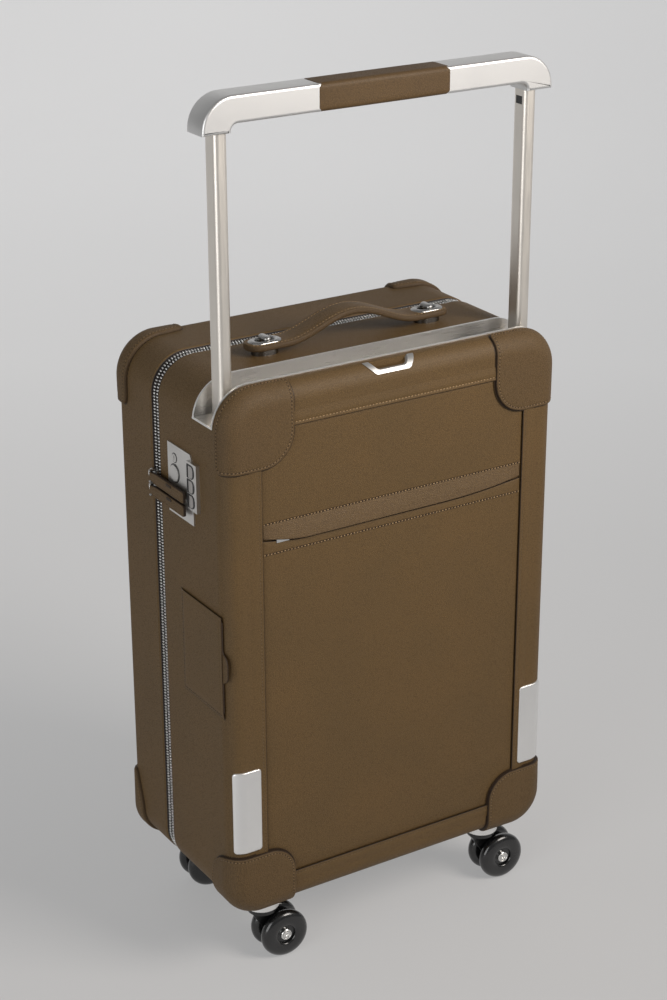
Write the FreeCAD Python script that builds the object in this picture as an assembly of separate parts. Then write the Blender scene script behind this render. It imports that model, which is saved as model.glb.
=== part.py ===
import FreeCAD, Part
import math
import os

from FreeCAD import Vector

# Driving dimensions in millimetres. X runs across the case, Y from its front to its back,
# Z up from the floor. The origin lies on the floor under the middle of the case.

# Case
CASE_W = 330.0
CASE_D = 184.0
CASE_TOP = 550.0
BASE_Z = 67.0
CORNER_R = 34.0
LOW_CORNER_R = 30.0
FRONT_EDGE_R = 15.0
REAR_EDGE_R = 8.0
WALL = 4.0
FRONT_WALL = 8.0
REAR_WALL = 5.0
LINING_T = 1.2
FIT_GAP = 0.2

# Closing zip between the case and its lid
ZIP_FROM_FRONT = 116.5
ZIP_HALF = 6.5
ZIP_EDGE_R = 2.0
ZIP_SINK = 2.0
ZIP_TAPE_T = 2.0
ZIP_TEETH_HALF = 4.2
ZIP_PARTING = 0.15
ZIP_END_FROM_SIDE = 17.0

# Front panels and the slit pocket
SEAM_FROM_SIDE = 34.6
PANEL_FROM_BASE = 31.0
PANEL_FROM_TOP = 36.0
PANEL_T = 2.0
PANEL_SINK = 1.0
POCKET_GAP = 2.5
POCKET_SEAM = 10.0
SLOT_Z = 417.0
SLOT_H = 5.0
POCKET_TAPE_T = 1.2
POCKET_TAPE_LAP = 7.0

# Corner patches, rear corners and kick plates
PATCH_T = 2.0
TOP_PATCH_W = 65.0
TOP_PATCH_H = 68.0
TOP_PATCH_R = 30.0
TOP_PATCH_REACH = 13.0
TOP_PATCH_SIDE_R = 8.0
LOW_PATCH_T = 3.0
LOW_PATCH_W = 61.0
LOW_PATCH_H = 60.0
LOW_PATCH_R = 26.0
LOW_PATCH_REACH = 35.0
LOW_PATCH_SIDE_R = 28.0
REAR_CORNER_T = 3.0
REAR_CORNER_W = 57.0
REAR_TOP_CORNER_H = 57.0
REAR_LOW_CORNER_H = 67.0
REAR_CORNER_REACH = 18.5
REAR_CORNER_R = 20.0
KICK_W = 28.6
KICK_FROM_BASE = 64.8
KICK_H = 79.2
KICK_REACH = 5.0
KICK_T = 1.6
KICK_R = 3.0

# Handle tray and the finger notch in front of it
TRAY_FROM_FRONT = 17.0
TRAY_W = 32.0
TRAY_DEPTH = 32.0
TRAY_T = 1.5
TRAY_RIM = 0.6
NOTCH_X = -3.0
NOTCH_TOP_HALF = 25.0
NOTCH_LOW_HALF = 16.5
NOTCH_H = 8.5
NOTCH_R = 5.0
NOTCH_DEPTH = 11.0
NOTCH_RIM_W = 3.0
NOTCH_RIM_SINK = 1.5
NOTCH_RIM_PROUD = 0.6

# Trolley handle, drawn out
POST_FROM_SIDE = 18.2
POST_W = 12.0
POST_D = 17.0
POST_R = 4.0
POST_T = 1.5
POST_GAP = 0.3
GUIDE_T = 1.4
GUIDE_FOOT_Z = 100.0
FOOT_H = 8.0
FOOT_SIDE = 1.5
STOWED_POST_GAP = 5.0
GRIP_TOP = 781.0
GRIP_H = 22.0
GRIP_D = 26.0
GRIP_END_H = 29.0
GRIP_OUTER_R = 27.0
GRIP_LEG_W = 25.0
GRIP_INNER_R = 6.0
GRIP_EDGE_R = 3.0
POST_SOCKET = 16.0
SLEEVE_HALF = 62.0
SLEEVE_T = 2.0
SLEEVE_R = 4.0
CORE_TENON = 12.0
BUTTON_LEN = 36.0
BUTTON_W = 10.0
BUTTON_R = 2.5
BUTTON_H = 9.0
BUTTON_PROUD = 1.5
BUTTON_TRAVEL = 3.0
CATCH_DROP = 6.0
CATCH_W = 8.0
CATCH_H = 6.4
CATCH_DEPTH = 4.0

# Carry handle on the top
CARRY_FROM_FRONT = 77.0
STRAP_HALF = 99.0
STRAP_W = 25.0
STRAP_T = 5.0
STRAP_END_R = 11.0
STRAP_FOOT_X = 53.0
STRAP_CREST_X = 14.0
STRAP_RISE = 17.0
STRAP_FOOT_BEND = 50.0
STRAP_CREST_BEND = 68.0
STUD_X = 81.0
STUD_BASE_L = 24.0
STUD_BASE_W = 16.0
STUD_BASE_H = 5.5
STEM_R = 2.6
STEM_SEAT = 4.0
EYELET_L = 30.0
EYELET_W = 17.0
EYELET_T = 1.2
EYE_L = 17.0
EYE_W = 9.0
KNOB_L = 14.0
KNOB_W = 6.5
KNOB_H = 3.6
TURN_GAP = 0.06

# Combination lock on the left side
LOCK_FROM_FRONT = 50.0
LOCK_W = 42.5
LOCK_Z = 423.0
LOCK_H = 62.0
LOCK_T = 1.5
LOCK_BEVEL_W = 4.0
LOCK_BEVEL_H = 8.0
STRIP_FROM_FRONT = 40.5
STRIP_W = 16.0
STRIP_Z = 437.5
STRIP_H = 42.0
STRIP_T = 3.5
LOCK_INSET = 1.0
LOCK_DEPTH = 13.0
DIAL_FROM_FRONT = 50.75
DIAL_COUNT = 3
DIAL_PITCH = 13.0
DIAL_R = 7.5
DIAL_H = 10.5
DIAL_PROUD = 0.7
DIAL_GAP = 0.4
DIAL_AXLE_R = 1.5
LOCK_BUTTON_FROM_FRONT = 80.5
LOCK_BUTTON_Z = 460.0
LOCK_BUTTON_R = 7.0
LOCK_BUTTON_PROUD = 1.0
LOCK_BUTTON_L = 9.0
LOCK_BUTTON_TRAVEL = 2.0
KEY_Z = 473.5
KEY_R = 3.5
KEY_PROUD = 0.5
KEY_L = 9.0
KEYHOLE_W = 1.0
KEYHOLE_H = 4.4
KEYHOLE_DEPTH = 3.0

# Zip sliders with leather pulls, on the left side
SLIDER_Z = 440.0
SLIDER_PITCH = 12.0
SLIDER_L = 11.0
SLIDER_W = 12.0
SLIDER_R = 2.5
SLIDER_T = 2.4
SLIDER_GAP = 0.2
PULL_PIN_R = 1.0
PULL_PIN_OFF = 2.9
EAR_T = 1.2
EAR_W = 3.0
PULL_EYE_R = 2.2
PULL_END_FROM_FRONT = 58.0
PULL_T = 2.4
PULL_W = 10.0
PULL_NECK_W = 8.0
PULL_NECK_L = 9.0
PULL_R = 2.0

# Name tag in its pocket, on the left side
TAG_FROM_FRONT = 8.0
TAG_W = 70.0
TAG_Z = 262.0
TAG_H = 94.5
TAG_LEATHER_T = 1.4
TAG_SLOT_T = 1.4
TAG_SEAM = 5.0
TAG_CARD_T = 1.0
TAG_TAB_Z = 310.0
TAG_TAB_R = 13.5
TAG_TAB_OUT = 8.0

# Pocket zip slider
POCKET_SLIDER_FROM_SEAM = 19.4
POCKET_SLIDER_L = 12.0
POCKET_SLIDER_T = 2.4
POCKET_SLIDER_GAP = 0.3

# Casters: twin wheels that trail their swivel
CASTER_FROM_SIDE = 45.0
CASTER_FROM_FRONT = 31.0
CASTER_FROM_REAR = 17.0
CASTER_TURN = -3.0
TRAIL = 17.0
CAP_R = 15.5
CAP_Z = 53.0
PLATE_R = 13.0
PLATE_H = 5.0
PLATE_GAP = 0.3
KINGPIN_R = 4.0
KINGPIN_L = 7.0
WEB_T = 6.5
BOSS_R = 8.0
BOSS_EDGE_R = 5.6
WHEEL_R = 22.5
WHEEL_W = 12.0
WHEEL_GAP = 0.6
WHEEL_EDGE_R = 4.5
HUB_R = 9.5
HUB_DEPTH = 2.5
AXLE_R = 3.0
AXLE_HEAD_R = 5.0
AXLE_HEAD_H = 1.5
SPIN_GAP = 0.05

# Places that follow from the sizes above
HALF_W = CASE_W / 2
FRONT_Y = -CASE_D / 2
REAR_Y = CASE_D / 2
LEFT_X = -HALF_W
ZIP_Y = FRONT_Y + ZIP_FROM_FRONT
ZIP_END_X = HALF_W - ZIP_END_FROM_SIDE
SEAM_X = HALF_W - SEAM_FROM_SIDE
PANEL_BOTTOM = BASE_Z + PANEL_FROM_BASE
PANEL_TOP = CASE_TOP - PANEL_FROM_TOP
POCKET_SLIDER_X = POCKET_SLIDER_FROM_SEAM - SEAM_X
TOP_PATCH_X = HALF_W - TOP_PATCH_W
TOP_PATCH_Z = CASE_TOP - TOP_PATCH_H
LOW_PATCH_X = HALF_W - LOW_PATCH_W
LOW_PATCH_Z = BASE_Z + LOW_PATCH_H
REAR_CORNER_X = HALF_W - REAR_CORNER_W
KICK_X = HALF_W - KICK_W
KICK_BOTTOM = BASE_Z + KICK_FROM_BASE
KICK_TOP = KICK_BOTTOM + KICK_H
NOTCH_Z = CASE_TOP - NOTCH_H
TRAY_FLOOR_Z = CASE_TOP - TRAY_DEPTH
TRAY_Y0 = FRONT_Y + TRAY_FROM_FRONT
TRAY_Y1 = TRAY_Y0 + TRAY_W
POST_X = HALF_W - POST_FROM_SIDE
POST_Y = TRAY_Y0 + TRAY_W / 2
BAY_Y1 = TRAY_Y1 + WALL
BAY_TOP = TRAY_FLOOR_Z - WALL
PANEL_BACK = FRONT_Y + PANEL_SINK + PANEL_T
STOW_TRAVEL = GRIP_TOP - CASE_TOP
POST_BOTTOM = GUIDE_FOOT_Z + STOWED_POST_GAP + STOW_TRAVEL
GRIP_END_Z = GRIP_TOP - GRIP_END_H
GRIP_LOW = GRIP_TOP - GRIP_H
CARRY_Y = FRONT_Y + CARRY_FROM_FRONT
STRAP_Z = CASE_TOP + STUD_BASE_H
AXLE_Z = WHEEL_R
CASTER_X = HALF_W - CASTER_FROM_SIDE
CASTERS = {
    "front_left": (-CASTER_X, FRONT_Y + CASTER_FROM_FRONT),
    "front_right": (CASTER_X, FRONT_Y + CASTER_FROM_FRONT),
    "rear_left": (-CASTER_X, REAR_Y - CASTER_FROM_REAR),
    "rear_right": (CASTER_X, REAR_Y - CASTER_FROM_REAR),
}
BEYOND = 10.0
TINY = 1e-6
IN_PLANE = 1e-4


# Shape helpers

def on_xz(y):
    """Places outline points in the plane that faces the front."""
    return lambda u, v: Vector(u, y, v)


def on_yz(x):
    """Places outline points in the plane that faces the side."""
    return lambda u, v: Vector(x, u, v)


def on_xy(z):
    """Places outline points in the plane that faces up."""
    return lambda u, v: Vector(u, v, z)


def corner(before, at, after, radius):
    """Start, middle and end of the arc that rounds one corner of an outline."""
    way_in = (Vector(*at, 0) - Vector(*before, 0)).normalize()
    way_out = (Vector(*after, 0) - Vector(*at, 0)).normalize()
    half_turn = way_in.getAngle(way_out) / 2
    setback = radius * math.tan(half_turn)
    inward = (way_out - way_in).normalize()
    point = Vector(*at, 0)
    middle = point + inward * (radius / math.cos(half_turn) - radius)
    return point - way_in * setback, middle, point + way_out * setback


def rounded_face(points, place):
    """Flat face whose outline points are (u, v, corner radius)."""
    stops = []
    for i, (u, v, radius) in enumerate(points):
        if radius:
            stops.append(corner(points[i - 1][:2], (u, v), points[(i + 1) % len(points)][:2], radius))
        else:
            stops.append((Vector(u, v, 0),) * 3)
    edges = []
    for i, (start, middle, end) in enumerate(stops):
        last = stops[i - 1][2]
        if (start - last).Length > TINY:
            edges.append(Part.makeLine(place(last.x, last.y), place(start.x, start.y)))
        if (end - start).Length > TINY:
            arc = Part.Arc(place(start.x, start.y), place(middle.x, middle.y), place(end.x, end.y))
            edges.append(arc.toShape())
    return Part.Face(Part.Wire(Part.__sortEdges__(edges)))


def rectangle(u0, u1, v0, v1, radius):
    """Outline points of a rectangle with rounded corners."""
    return [(u0, v0, radius), (u1, v0, radius), (u1, v1, radius), (u0, v1, radius)]


def along_x(points, x0, x1):
    """Outline in the side plane, drawn out along X."""
    return rounded_face(points, on_yz(x0)).extrude(Vector(x1 - x0, 0, 0))


def along_y(points, y0, y1):
    """Outline in the front plane, drawn out along Y."""
    return rounded_face(points, on_xz(y0)).extrude(Vector(0, y1 - y0, 0))


def along_z(points, z0, z1):
    """Outline in the floor plane, drawn out along Z."""
    return rounded_face(points, on_xy(z0)).extrude(Vector(0, 0, z1 - z0))


def box(x0, x1, y0, y1, z0, z1):
    """Block between two corners."""
    return Part.makeBox(x1 - x0, y1 - y0, z1 - z0, Vector(x0, y0, z0))


def rod(radius, start, end):
    """Round bar between two points."""
    start, end = Vector(*start), Vector(*end)
    return Part.makeCylinder(radius, (end - start).Length, start, end - start)


def mirrored(shape):
    """The same piece on the other side of the case."""
    return shape.mirror(Vector(0, 0, 0), Vector(1, 0, 0))


def both_sides(shape):
    """A piece and its mirror image, as two separate solids."""
    return Part.makeCompound([shape, mirrored(shape)])


def edges_at_y(shape, y):
    """Edges that lie in one plane across the depth."""
    return [e for e in shape.Edges if max(abs(e.BoundBox.YMin - y), abs(e.BoundBox.YMax - y)) < IN_PLANE]


def obround(u, v, length, width):
    """Outline points of a slot with round ends, its long way along u."""
    return rectangle(u - length / 2, u + length / 2, v - width / 2, v + width / 2, min(length, width) / 2)


def case_block(grow, y0, y1):
    """The case's outline from the front, grown by a thickness and drawn out in depth."""
    side = HALF_W + grow
    low = BASE_Z - grow
    top = CASE_TOP + grow
    points = [
        (-side, low, LOW_CORNER_R + grow),
        (side, low, LOW_CORNER_R + grow),
        (side, top, CORNER_R + grow),
        (-side, top, CORNER_R + grow),
    ]
    return along_y(points, y0, y1)


def front_body(grow):
    """Outside of the case as far as its zip, with the rounded front edge and the turned leather edge."""
    zip_y = ZIP_Y - ZIP_HALF
    block = case_block(grow, FRONT_Y - grow, zip_y)
    block = block.makeFillet(FRONT_EDGE_R + grow, edges_at_y(block, FRONT_Y - grow))
    return block.makeFillet(ZIP_EDGE_R, edges_at_y(block, zip_y))


def rear_body(grow):
    """Outside of the lid, with its rounded rear edge and the turned leather edge."""
    zip_y = ZIP_Y + ZIP_HALF
    block = case_block(grow, zip_y, REAR_Y + grow)
    block = block.makeFillet(REAR_EDGE_R + grow, edges_at_y(block, REAR_Y + grow))
    return block.makeFillet(ZIP_EDGE_R, edges_at_y(block, zip_y))


parts = {}


# Case

def post_block(grow, z0, z1):
    """The right trolley post's section, grown by a clearance or a wall."""
    length = POST_D + 2 * grow
    width = POST_W + 2 * grow
    points = rectangle(POST_X - width / 2, POST_X + width / 2, POST_Y - length / 2, POST_Y + length / 2,
                       POST_R + grow)
    return along_z(points, z0, z1)


def notch_outline(inset):
    """The finger notch seen from the front, open at the top of the lip."""
    top = CASE_TOP + BEYOND
    slope = (NOTCH_TOP_HALF - NOTCH_LOW_HALF) / (CASE_TOP - NOTCH_Z)
    low = NOTCH_LOW_HALF - inset
    high = low + slope * (top - NOTCH_Z - inset)
    floor = NOTCH_Z + inset
    return [(NOTCH_X - low, floor, NOTCH_R), (NOTCH_X + low, floor, NOTCH_R), (NOTCH_X + high, top, 0),
            (NOTCH_X - high, top, 0)]


def lock_block(grow, x0, x1):
    """The lock's body where it passes through the side wall."""
    y0 = FRONT_Y + STRIP_FROM_FRONT + LOCK_INSET
    y1 = FRONT_Y + LOCK_FROM_FRONT + LOCK_W - LOCK_INSET
    z0 = STRIP_Z + LOCK_INSET
    z1 = STRIP_Z + STRIP_H - LOCK_INSET
    return box(x0, x1, y0 - grow, y1 + grow, z0 - grow, z1 + grow)


def make_case():
    """The hollow front half of the case and the leather panels on its front."""
    room = case_block(-WALL, BAY_Y1, ZIP_Y)
    bay = case_block(-WALL, FRONT_Y + FRONT_WALL, BAY_Y1)
    bay = bay.common(box(-CASE_W, CASE_W, -CASE_D, CASE_D, 0, BAY_TOP))
    slot = box(-CASE_W, CASE_W, TRAY_Y0, TRAY_Y1, TRAY_FLOOR_Z, CASE_TOP + BEYOND)
    recess = box(-SEAM_X, SEAM_X, FRONT_Y - BEYOND, PANEL_BACK, PANEL_BOTTOM, PANEL_TOP)
    slot_top = SLOT_Z + SLOT_H / 2
    pocket_x = SEAM_X - POCKET_SEAM
    pouch = box(-pocket_x, pocket_x, FRONT_Y, PANEL_BACK + POCKET_GAP,
                PANEL_BOTTOM + POCKET_SEAM, slot_top + POCKET_SEAM)
    scoop = along_y(notch_outline(NOTCH_RIM_W), FRONT_Y - BEYOND, FRONT_Y + NOTCH_DEPTH)
    frame = along_y(notch_outline(0), FRONT_Y - BEYOND, FRONT_Y + NOTCH_DEPTH).cut(scoop)
    rim = front_body(NOTCH_RIM_PROUD).cut(front_body(-NOTCH_RIM_SINK)).common(frame)
    shell = front_body(0)
    for hollow in (room, bay, slot, recess, pouch, scoop, rim):
        shell = shell.cut(hollow)
    post_hole = post_block(POST_GAP, BAY_TOP, TRAY_FLOOR_Z)
    for hole in (post_hole, mirrored(post_hole), lock_block(0, LEFT_X, LEFT_X + WALL)):
        shell = shell.cut(hole)
    parts["main_shell"] = shell
    parts["notch_rim"] = rim
    face_y = FRONT_Y + PANEL_SINK
    parts["pocket_panel"] = box(-SEAM_X, SEAM_X, face_y, PANEL_BACK, PANEL_BOTTOM, SLOT_Z - SLOT_H / 2)
    parts["upper_panel"] = box(-SEAM_X, SEAM_X, face_y, PANEL_BACK, slot_top, PANEL_TOP)
    tape_x = pocket_x - FIT_GAP
    parts["pocket_zip_tape"] = box(-tape_x, tape_x, PANEL_BACK, PANEL_BACK + POCKET_TAPE_T,
                                   SLOT_Z - SLOT_H / 2 + FIT_GAP, slot_top + POCKET_TAPE_LAP)
    slider_h = SLOT_H / 2 - POCKET_SLIDER_GAP
    parts["pocket_slider"] = box(POCKET_SLIDER_X - POCKET_SLIDER_L / 2, POCKET_SLIDER_X + POCKET_SLIDER_L / 2,
                                 PANEL_BACK - FIT_GAP - POCKET_SLIDER_T, PANEL_BACK - FIT_GAP,
                                 SLOT_Z - slider_h, SLOT_Z + slider_h)


def make_linings():
    """Cloth linings of both halves and the board that covers the trolley tubes."""
    cover = case_block(-WALL - FIT_GAP, TRAY_Y1, BAY_Y1)
    cover = cover.common(box(-CASE_W, CASE_W, -CASE_D, CASE_D, 0, BAY_TOP - FIT_GAP))
    parts["trolley_cover"] = cover.cut(lock_block(FIT_GAP, LEFT_X, LEFT_X + LOCK_DEPTH + FIT_GAP))
    skin = case_block(-WALL - FIT_GAP, BAY_Y1 + FIT_GAP, ZIP_Y - ZIP_HALF)
    skin = skin.cut(case_block(-WALL - FIT_GAP - LINING_T, BAY_Y1 + FIT_GAP + LINING_T, ZIP_Y))
    parts["case_lining"] = skin.cut(lock_block(FIT_GAP, LEFT_X, LEFT_X + LOCK_DEPTH + FIT_GAP))
    back = REAR_Y - REAR_WALL - FIT_GAP
    skin = case_block(-WALL - FIT_GAP, ZIP_Y + ZIP_HALF, back)
    parts["lid_lining"] = skin.cut(case_block(-WALL - FIT_GAP - LINING_T, ZIP_Y, back - LINING_T))


def make_lid():
    """The hollow rear half that opens as the lid."""
    room = case_block(-WALL, ZIP_Y, REAR_Y - REAR_WALL)
    parts["lid_shell"] = rear_body(0).cut(room)


def make_zip():
    """Zip tapes with their teeth on three sides, and the leather gusset that hinges the fourth."""
    zip_side = box(-CASE_W, ZIP_END_X, -CASE_D, CASE_D, 0, CASE_TOP + BEYOND)

    def band(sink, thick, y0, y1):
        """Ring in the groove between case and lid."""
        inside = case_block(-sink - thick, y0, y1)
        return case_block(-sink, y0, y1).cut(inside)

    tape = band(ZIP_SINK, ZIP_TAPE_T, ZIP_Y - ZIP_HALF, ZIP_Y - ZIP_PARTING)
    teeth = band(0, ZIP_SINK, ZIP_Y - ZIP_TEETH_HALF, ZIP_Y - ZIP_PARTING)
    parts["zip_track_case"] = tape.fuse(teeth).common(zip_side)
    tape = band(ZIP_SINK, ZIP_TAPE_T, ZIP_Y + ZIP_PARTING, ZIP_Y + ZIP_HALF)
    teeth = band(0, ZIP_SINK, ZIP_Y + ZIP_PARTING, ZIP_Y + ZIP_TEETH_HALF)
    parts["zip_track_lid"] = tape.fuse(teeth).common(zip_side)
    parts["hinge_gusset"] = band(ZIP_SINK, ZIP_TAPE_T, ZIP_Y - ZIP_HALF, ZIP_Y + ZIP_HALF).cut(zip_side)


# Corner pieces

def wrap(skin, front_view, side_view):
    """A leather or metal piece wrapped round a corner, cut to its outlines from front and side."""
    piece = skin.common(along_y(front_view, -CASE_D, CASE_D))
    return piece.common(along_x(side_view, 0, CASE_W))


def make_corners():
    """Corner patches and kick plates on the front, and the proud corners of the lid."""
    inside = front_body(0)
    far_x = CASE_W
    ahead = FRONT_Y - BEYOND
    top = CASE_TOP + BEYOND
    low = BASE_Z - BEYOND
    upper = wrap(
        front_body(PATCH_T).cut(inside),
        [(TOP_PATCH_X, TOP_PATCH_Z, TOP_PATCH_R), (far_x, TOP_PATCH_Z, 0), (far_x, top, 0),
         (TOP_PATCH_X, top, 0)],
        [(ahead, TOP_PATCH_Z, 0), (FRONT_Y + TOP_PATCH_REACH, TOP_PATCH_Z, TOP_PATCH_SIDE_R),
         (FRONT_Y + TOP_PATCH_REACH, top, 0), (ahead, top, 0)],
    )
    lower = wrap(
        front_body(LOW_PATCH_T).cut(inside),
        [(LOW_PATCH_X, low, 0), (far_x, low, 0), (far_x, LOW_PATCH_Z, 0),
         (LOW_PATCH_X, LOW_PATCH_Z, LOW_PATCH_R)],
        [(ahead, low, 0), (FRONT_Y + LOW_PATCH_REACH, low, 0),
         (FRONT_Y + LOW_PATCH_REACH, LOW_PATCH_Z, LOW_PATCH_SIDE_R), (ahead, LOW_PATCH_Z, 0)],
    )
    parts["front_corner_patches"] = Part.makeCompound([upper, mirrored(upper), lower, mirrored(lower)])
    plate = wrap(
        front_body(KICK_T).cut(inside),
        [(KICK_X, KICK_BOTTOM, KICK_R), (far_x, KICK_BOTTOM, 0), (far_x, KICK_TOP, 0),
         (KICK_X, KICK_TOP, KICK_R)],
        rectangle(ahead, FRONT_Y + KICK_REACH, 0, CASE_TOP, 0),
    )
    parts["kick_plates"] = both_sides(plate)
    hood = rear_body(REAR_CORNER_T).cut(rear_body(0))
    edge_y = REAR_Y - REAR_CORNER_REACH
    behind = REAR_Y + BEYOND
    corners = []
    for inner, outer in ((CASE_TOP - REAR_TOP_CORNER_H, top), (BASE_Z + REAR_LOW_CORNER_H, low)):
        front_view = [(REAR_CORNER_X, inner, REAR_CORNER_R), (far_x, inner, 0), (far_x, outer, 0),
                      (REAR_CORNER_X, outer, 0)]
        side_view = [(edge_y, inner, 0), (edge_y, outer, 0), (behind, outer, 0), (behind, inner, 0)]
        piece = wrap(hood, front_view, side_view)
        corners += [piece, mirrored(piece)]
    parts["rear_corners"] = Part.makeCompound(corners)
    return lower, corners[2]


# Trolley handle

def make_tray():
    """Aluminium channel that the stowed grip drops into, and the tubes that guide the posts."""
    trough = box(-CASE_W, CASE_W, TRAY_Y0, TRAY_Y1, TRAY_FLOOR_Z, CASE_TOP + BEYOND)
    inside = box(-CASE_W, CASE_W, TRAY_Y0 + TRAY_T, TRAY_Y1 - TRAY_T, TRAY_FLOOR_Z + TRAY_T,
                 CASE_TOP + BEYOND)
    tray = case_block(TRAY_RIM, FRONT_Y, ZIP_Y).common(trough).cut(inside)
    hole = post_block(POST_GAP, TRAY_FLOOR_Z, TRAY_FLOOR_Z + TRAY_T)
    parts["handle_tray"] = tray.cut(hole).cut(mirrored(hole))
    outer = post_block(POST_GAP + GUIDE_T, GUIDE_FOOT_Z, BAY_TOP)
    tube = outer.cut(post_block(POST_GAP, GUIDE_FOOT_Z, BAY_TOP))
    parts["guide_tubes"] = both_sides(tube)
    reach = POST_W / 2 + POST_GAP + GUIDE_T
    foot = box(POST_X - reach - FOOT_SIDE, POST_X + reach, FRONT_Y + FRONT_WALL, TRAY_Y1,
               GUIDE_FOOT_Z - FOOT_H, GUIDE_FOOT_Z)
    parts["tube_feet"] = both_sides(foot)


def make_trolley():
    """Posts, cast grip ends, and the leather-covered middle of the grip with its button."""
    post = post_block(0, POST_BOTTOM, GRIP_END_Z + POST_SOCKET)
    post = post.cut(post_block(-POST_T, POST_BOTTOM, GRIP_END_Z + POST_SOCKET))
    catch_top = GRIP_END_Z - CATCH_DROP
    face_x = POST_X - POST_W / 2
    window = box(face_x - BEYOND, POST_X, POST_Y - CATCH_W / 2 - FIT_GAP,
                 POST_Y + CATCH_W / 2 + FIT_GAP, catch_top - CATCH_H - FIT_GAP, catch_top + FIT_GAP)
    parts["trolley_posts"] = Part.makeCompound([mirrored(post), post.cut(window)])
    parts["stow_catch"] = box(face_x + FIT_GAP, face_x + FIT_GAP + CATCH_DEPTH, POST_Y - CATCH_W / 2,
                              POST_Y + CATCH_W / 2, catch_top - CATCH_H, catch_top)
    y0 = POST_Y - GRIP_D / 2
    y1 = POST_Y + GRIP_D / 2
    core_points = rectangle(y0 + SLEEVE_T, y1 - SLEEVE_T, GRIP_LOW + SLEEVE_T, GRIP_TOP - SLEEVE_T,
                            SLEEVE_R - SLEEVE_T)
    tenon_half = SLEEVE_HALF + CORE_TENON
    core = along_x(core_points, -tenon_half, tenon_half)
    outline = [
        (SLEEVE_HALF, GRIP_LOW, 0),
        (HALF_W - GRIP_LEG_W, GRIP_LOW, GRIP_INNER_R),
        (HALF_W - GRIP_LEG_W, GRIP_END_Z, 0),
        (HALF_W, GRIP_END_Z, 0),
        (HALF_W, GRIP_TOP, GRIP_OUTER_R),
        (SLEEVE_HALF, GRIP_TOP, 0),
    ]
    end = along_y(outline, y0, y1)
    flat = [e for y in (y0, y1) for e in edges_at_y(end, y) if e.BoundBox.ZMax - e.BoundBox.ZMin < TINY]
    rims = [e for e in flat if e.BoundBox.ZMin > GRIP_END_Z + TINY]
    end = end.makeFillet(GRIP_EDGE_R, rims)
    end = end.cut(post_block(0, GRIP_END_Z - BEYOND, GRIP_END_Z + POST_SOCKET)).cut(core)
    parts["grip_end_right"] = end
    parts["grip_end_left"] = mirrored(end)
    sleeve_points = rectangle(y0, y1, GRIP_LOW, GRIP_TOP, SLEEVE_R)
    sleeve = along_x(sleeve_points, -SLEEVE_HALF, SLEEVE_HALF).cut(core)
    half_l = BUTTON_LEN / 2
    half_w = BUTTON_W / 2
    button_z = GRIP_LOW - BUTTON_PROUD
    well = box(-half_l - FIT_GAP, half_l + FIT_GAP, POST_Y - half_w - FIT_GAP, POST_Y + half_w + FIT_GAP,
               button_z, button_z + BUTTON_H + BUTTON_TRAVEL + FIT_GAP)
    parts["grip_core"] = core.cut(well)
    parts["grip_sleeve"] = sleeve.cut(well)
    parts["release_button"] = along_z(rectangle(-half_l, half_l, POST_Y - half_w, POST_Y + half_w, BUTTON_R),
                                      button_z, button_z + BUTTON_H)


# Carry handle

def offset_path(path, distance):
    """Points of a path moved sideways by a distance, with the bend radii changed to match."""
    moved = []
    for i, (u, v, radius) in enumerate(path):
        at = Vector(u, v, 0)
        ways = []
        if i:
            ways.append((at - Vector(*path[i - 1][:2], 0)).normalize())
        if i < len(path) - 1:
            ways.append((Vector(*path[i + 1][:2], 0) - at).normalize())
        sides = [Vector(-w.y, w.x, 0) for w in ways]
        total = sides[0] + sides[-1]
        step = total * (2 * distance / total.dot(total))
        turn = ways[0].x * ways[-1].y - ways[0].y * ways[-1].x
        moved.append((u + step.x, v + step.y, radius - math.copysign(distance, turn) if radius else 0))
    return moved


def make_carry_handle():
    """Arched leather strap held by two turn knobs in oval eyelets."""
    crest_z = STRAP_Z + STRAP_RISE
    under = [
        (-STRAP_HALF, STRAP_Z, 0),
        (-STRAP_FOOT_X, STRAP_Z, STRAP_FOOT_BEND),
        (-STRAP_CREST_X, crest_z, STRAP_CREST_BEND - STRAP_T),
        (STRAP_CREST_X, crest_z, STRAP_CREST_BEND - STRAP_T),
        (STRAP_FOOT_X, STRAP_Z, STRAP_FOOT_BEND),
        (STRAP_HALF, STRAP_Z, 0),
    ]
    over = offset_path(under, STRAP_T)
    arch = along_y(under + over[::-1], CARRY_Y - STRAP_W / 2, CARRY_Y + STRAP_W / 2)
    plan = rectangle(-STRAP_HALF, STRAP_HALF, CARRY_Y - STRAP_W / 2, CARRY_Y + STRAP_W / 2, STRAP_END_R)
    strap = arch.common(along_z(plan, CASE_TOP, crest_z + STRAP_T + BEYOND))
    plate_z = STRAP_Z + STRAP_T
    plate_top = plate_z + EYELET_T
    seat_z = STRAP_Z - STEM_SEAT
    bases, eyelets = [], []
    for name, x in (("left", -STUD_X), ("right", STUD_X)):
        eye = along_z(obround(x, CARRY_Y, EYE_L, EYE_W), CASE_TOP, plate_top + BEYOND)
        base = along_z(obround(x, CARRY_Y, STUD_BASE_L, STUD_BASE_W), CASE_TOP, STRAP_Z)
        bases.append(base.cut(rod(STEM_R + TURN_GAP, (x, CARRY_Y, seat_z), (x, CARRY_Y, STRAP_Z))))
        eyelets.append(along_z(obround(x, CARRY_Y, EYELET_L, EYELET_W), plate_z, plate_top).cut(eye))
        strap = strap.cut(along_z(obround(x, CARRY_Y, EYE_L, EYE_W), STRAP_Z, plate_top))
        knob_z = plate_top + FIT_GAP
        knob = along_z(obround(x, CARRY_Y, KNOB_W, KNOB_L), knob_z, knob_z + KNOB_H)
        parts["carry_knob_" + name] = knob.fuse(rod(STEM_R, (x, CARRY_Y, seat_z), (x, CARRY_Y, knob_z)))
    parts["carry_strap"] = strap
    parts["carry_bases"] = Part.makeCompound(bases)
    parts["carry_eyelets"] = Part.makeCompound(eyelets)


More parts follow.
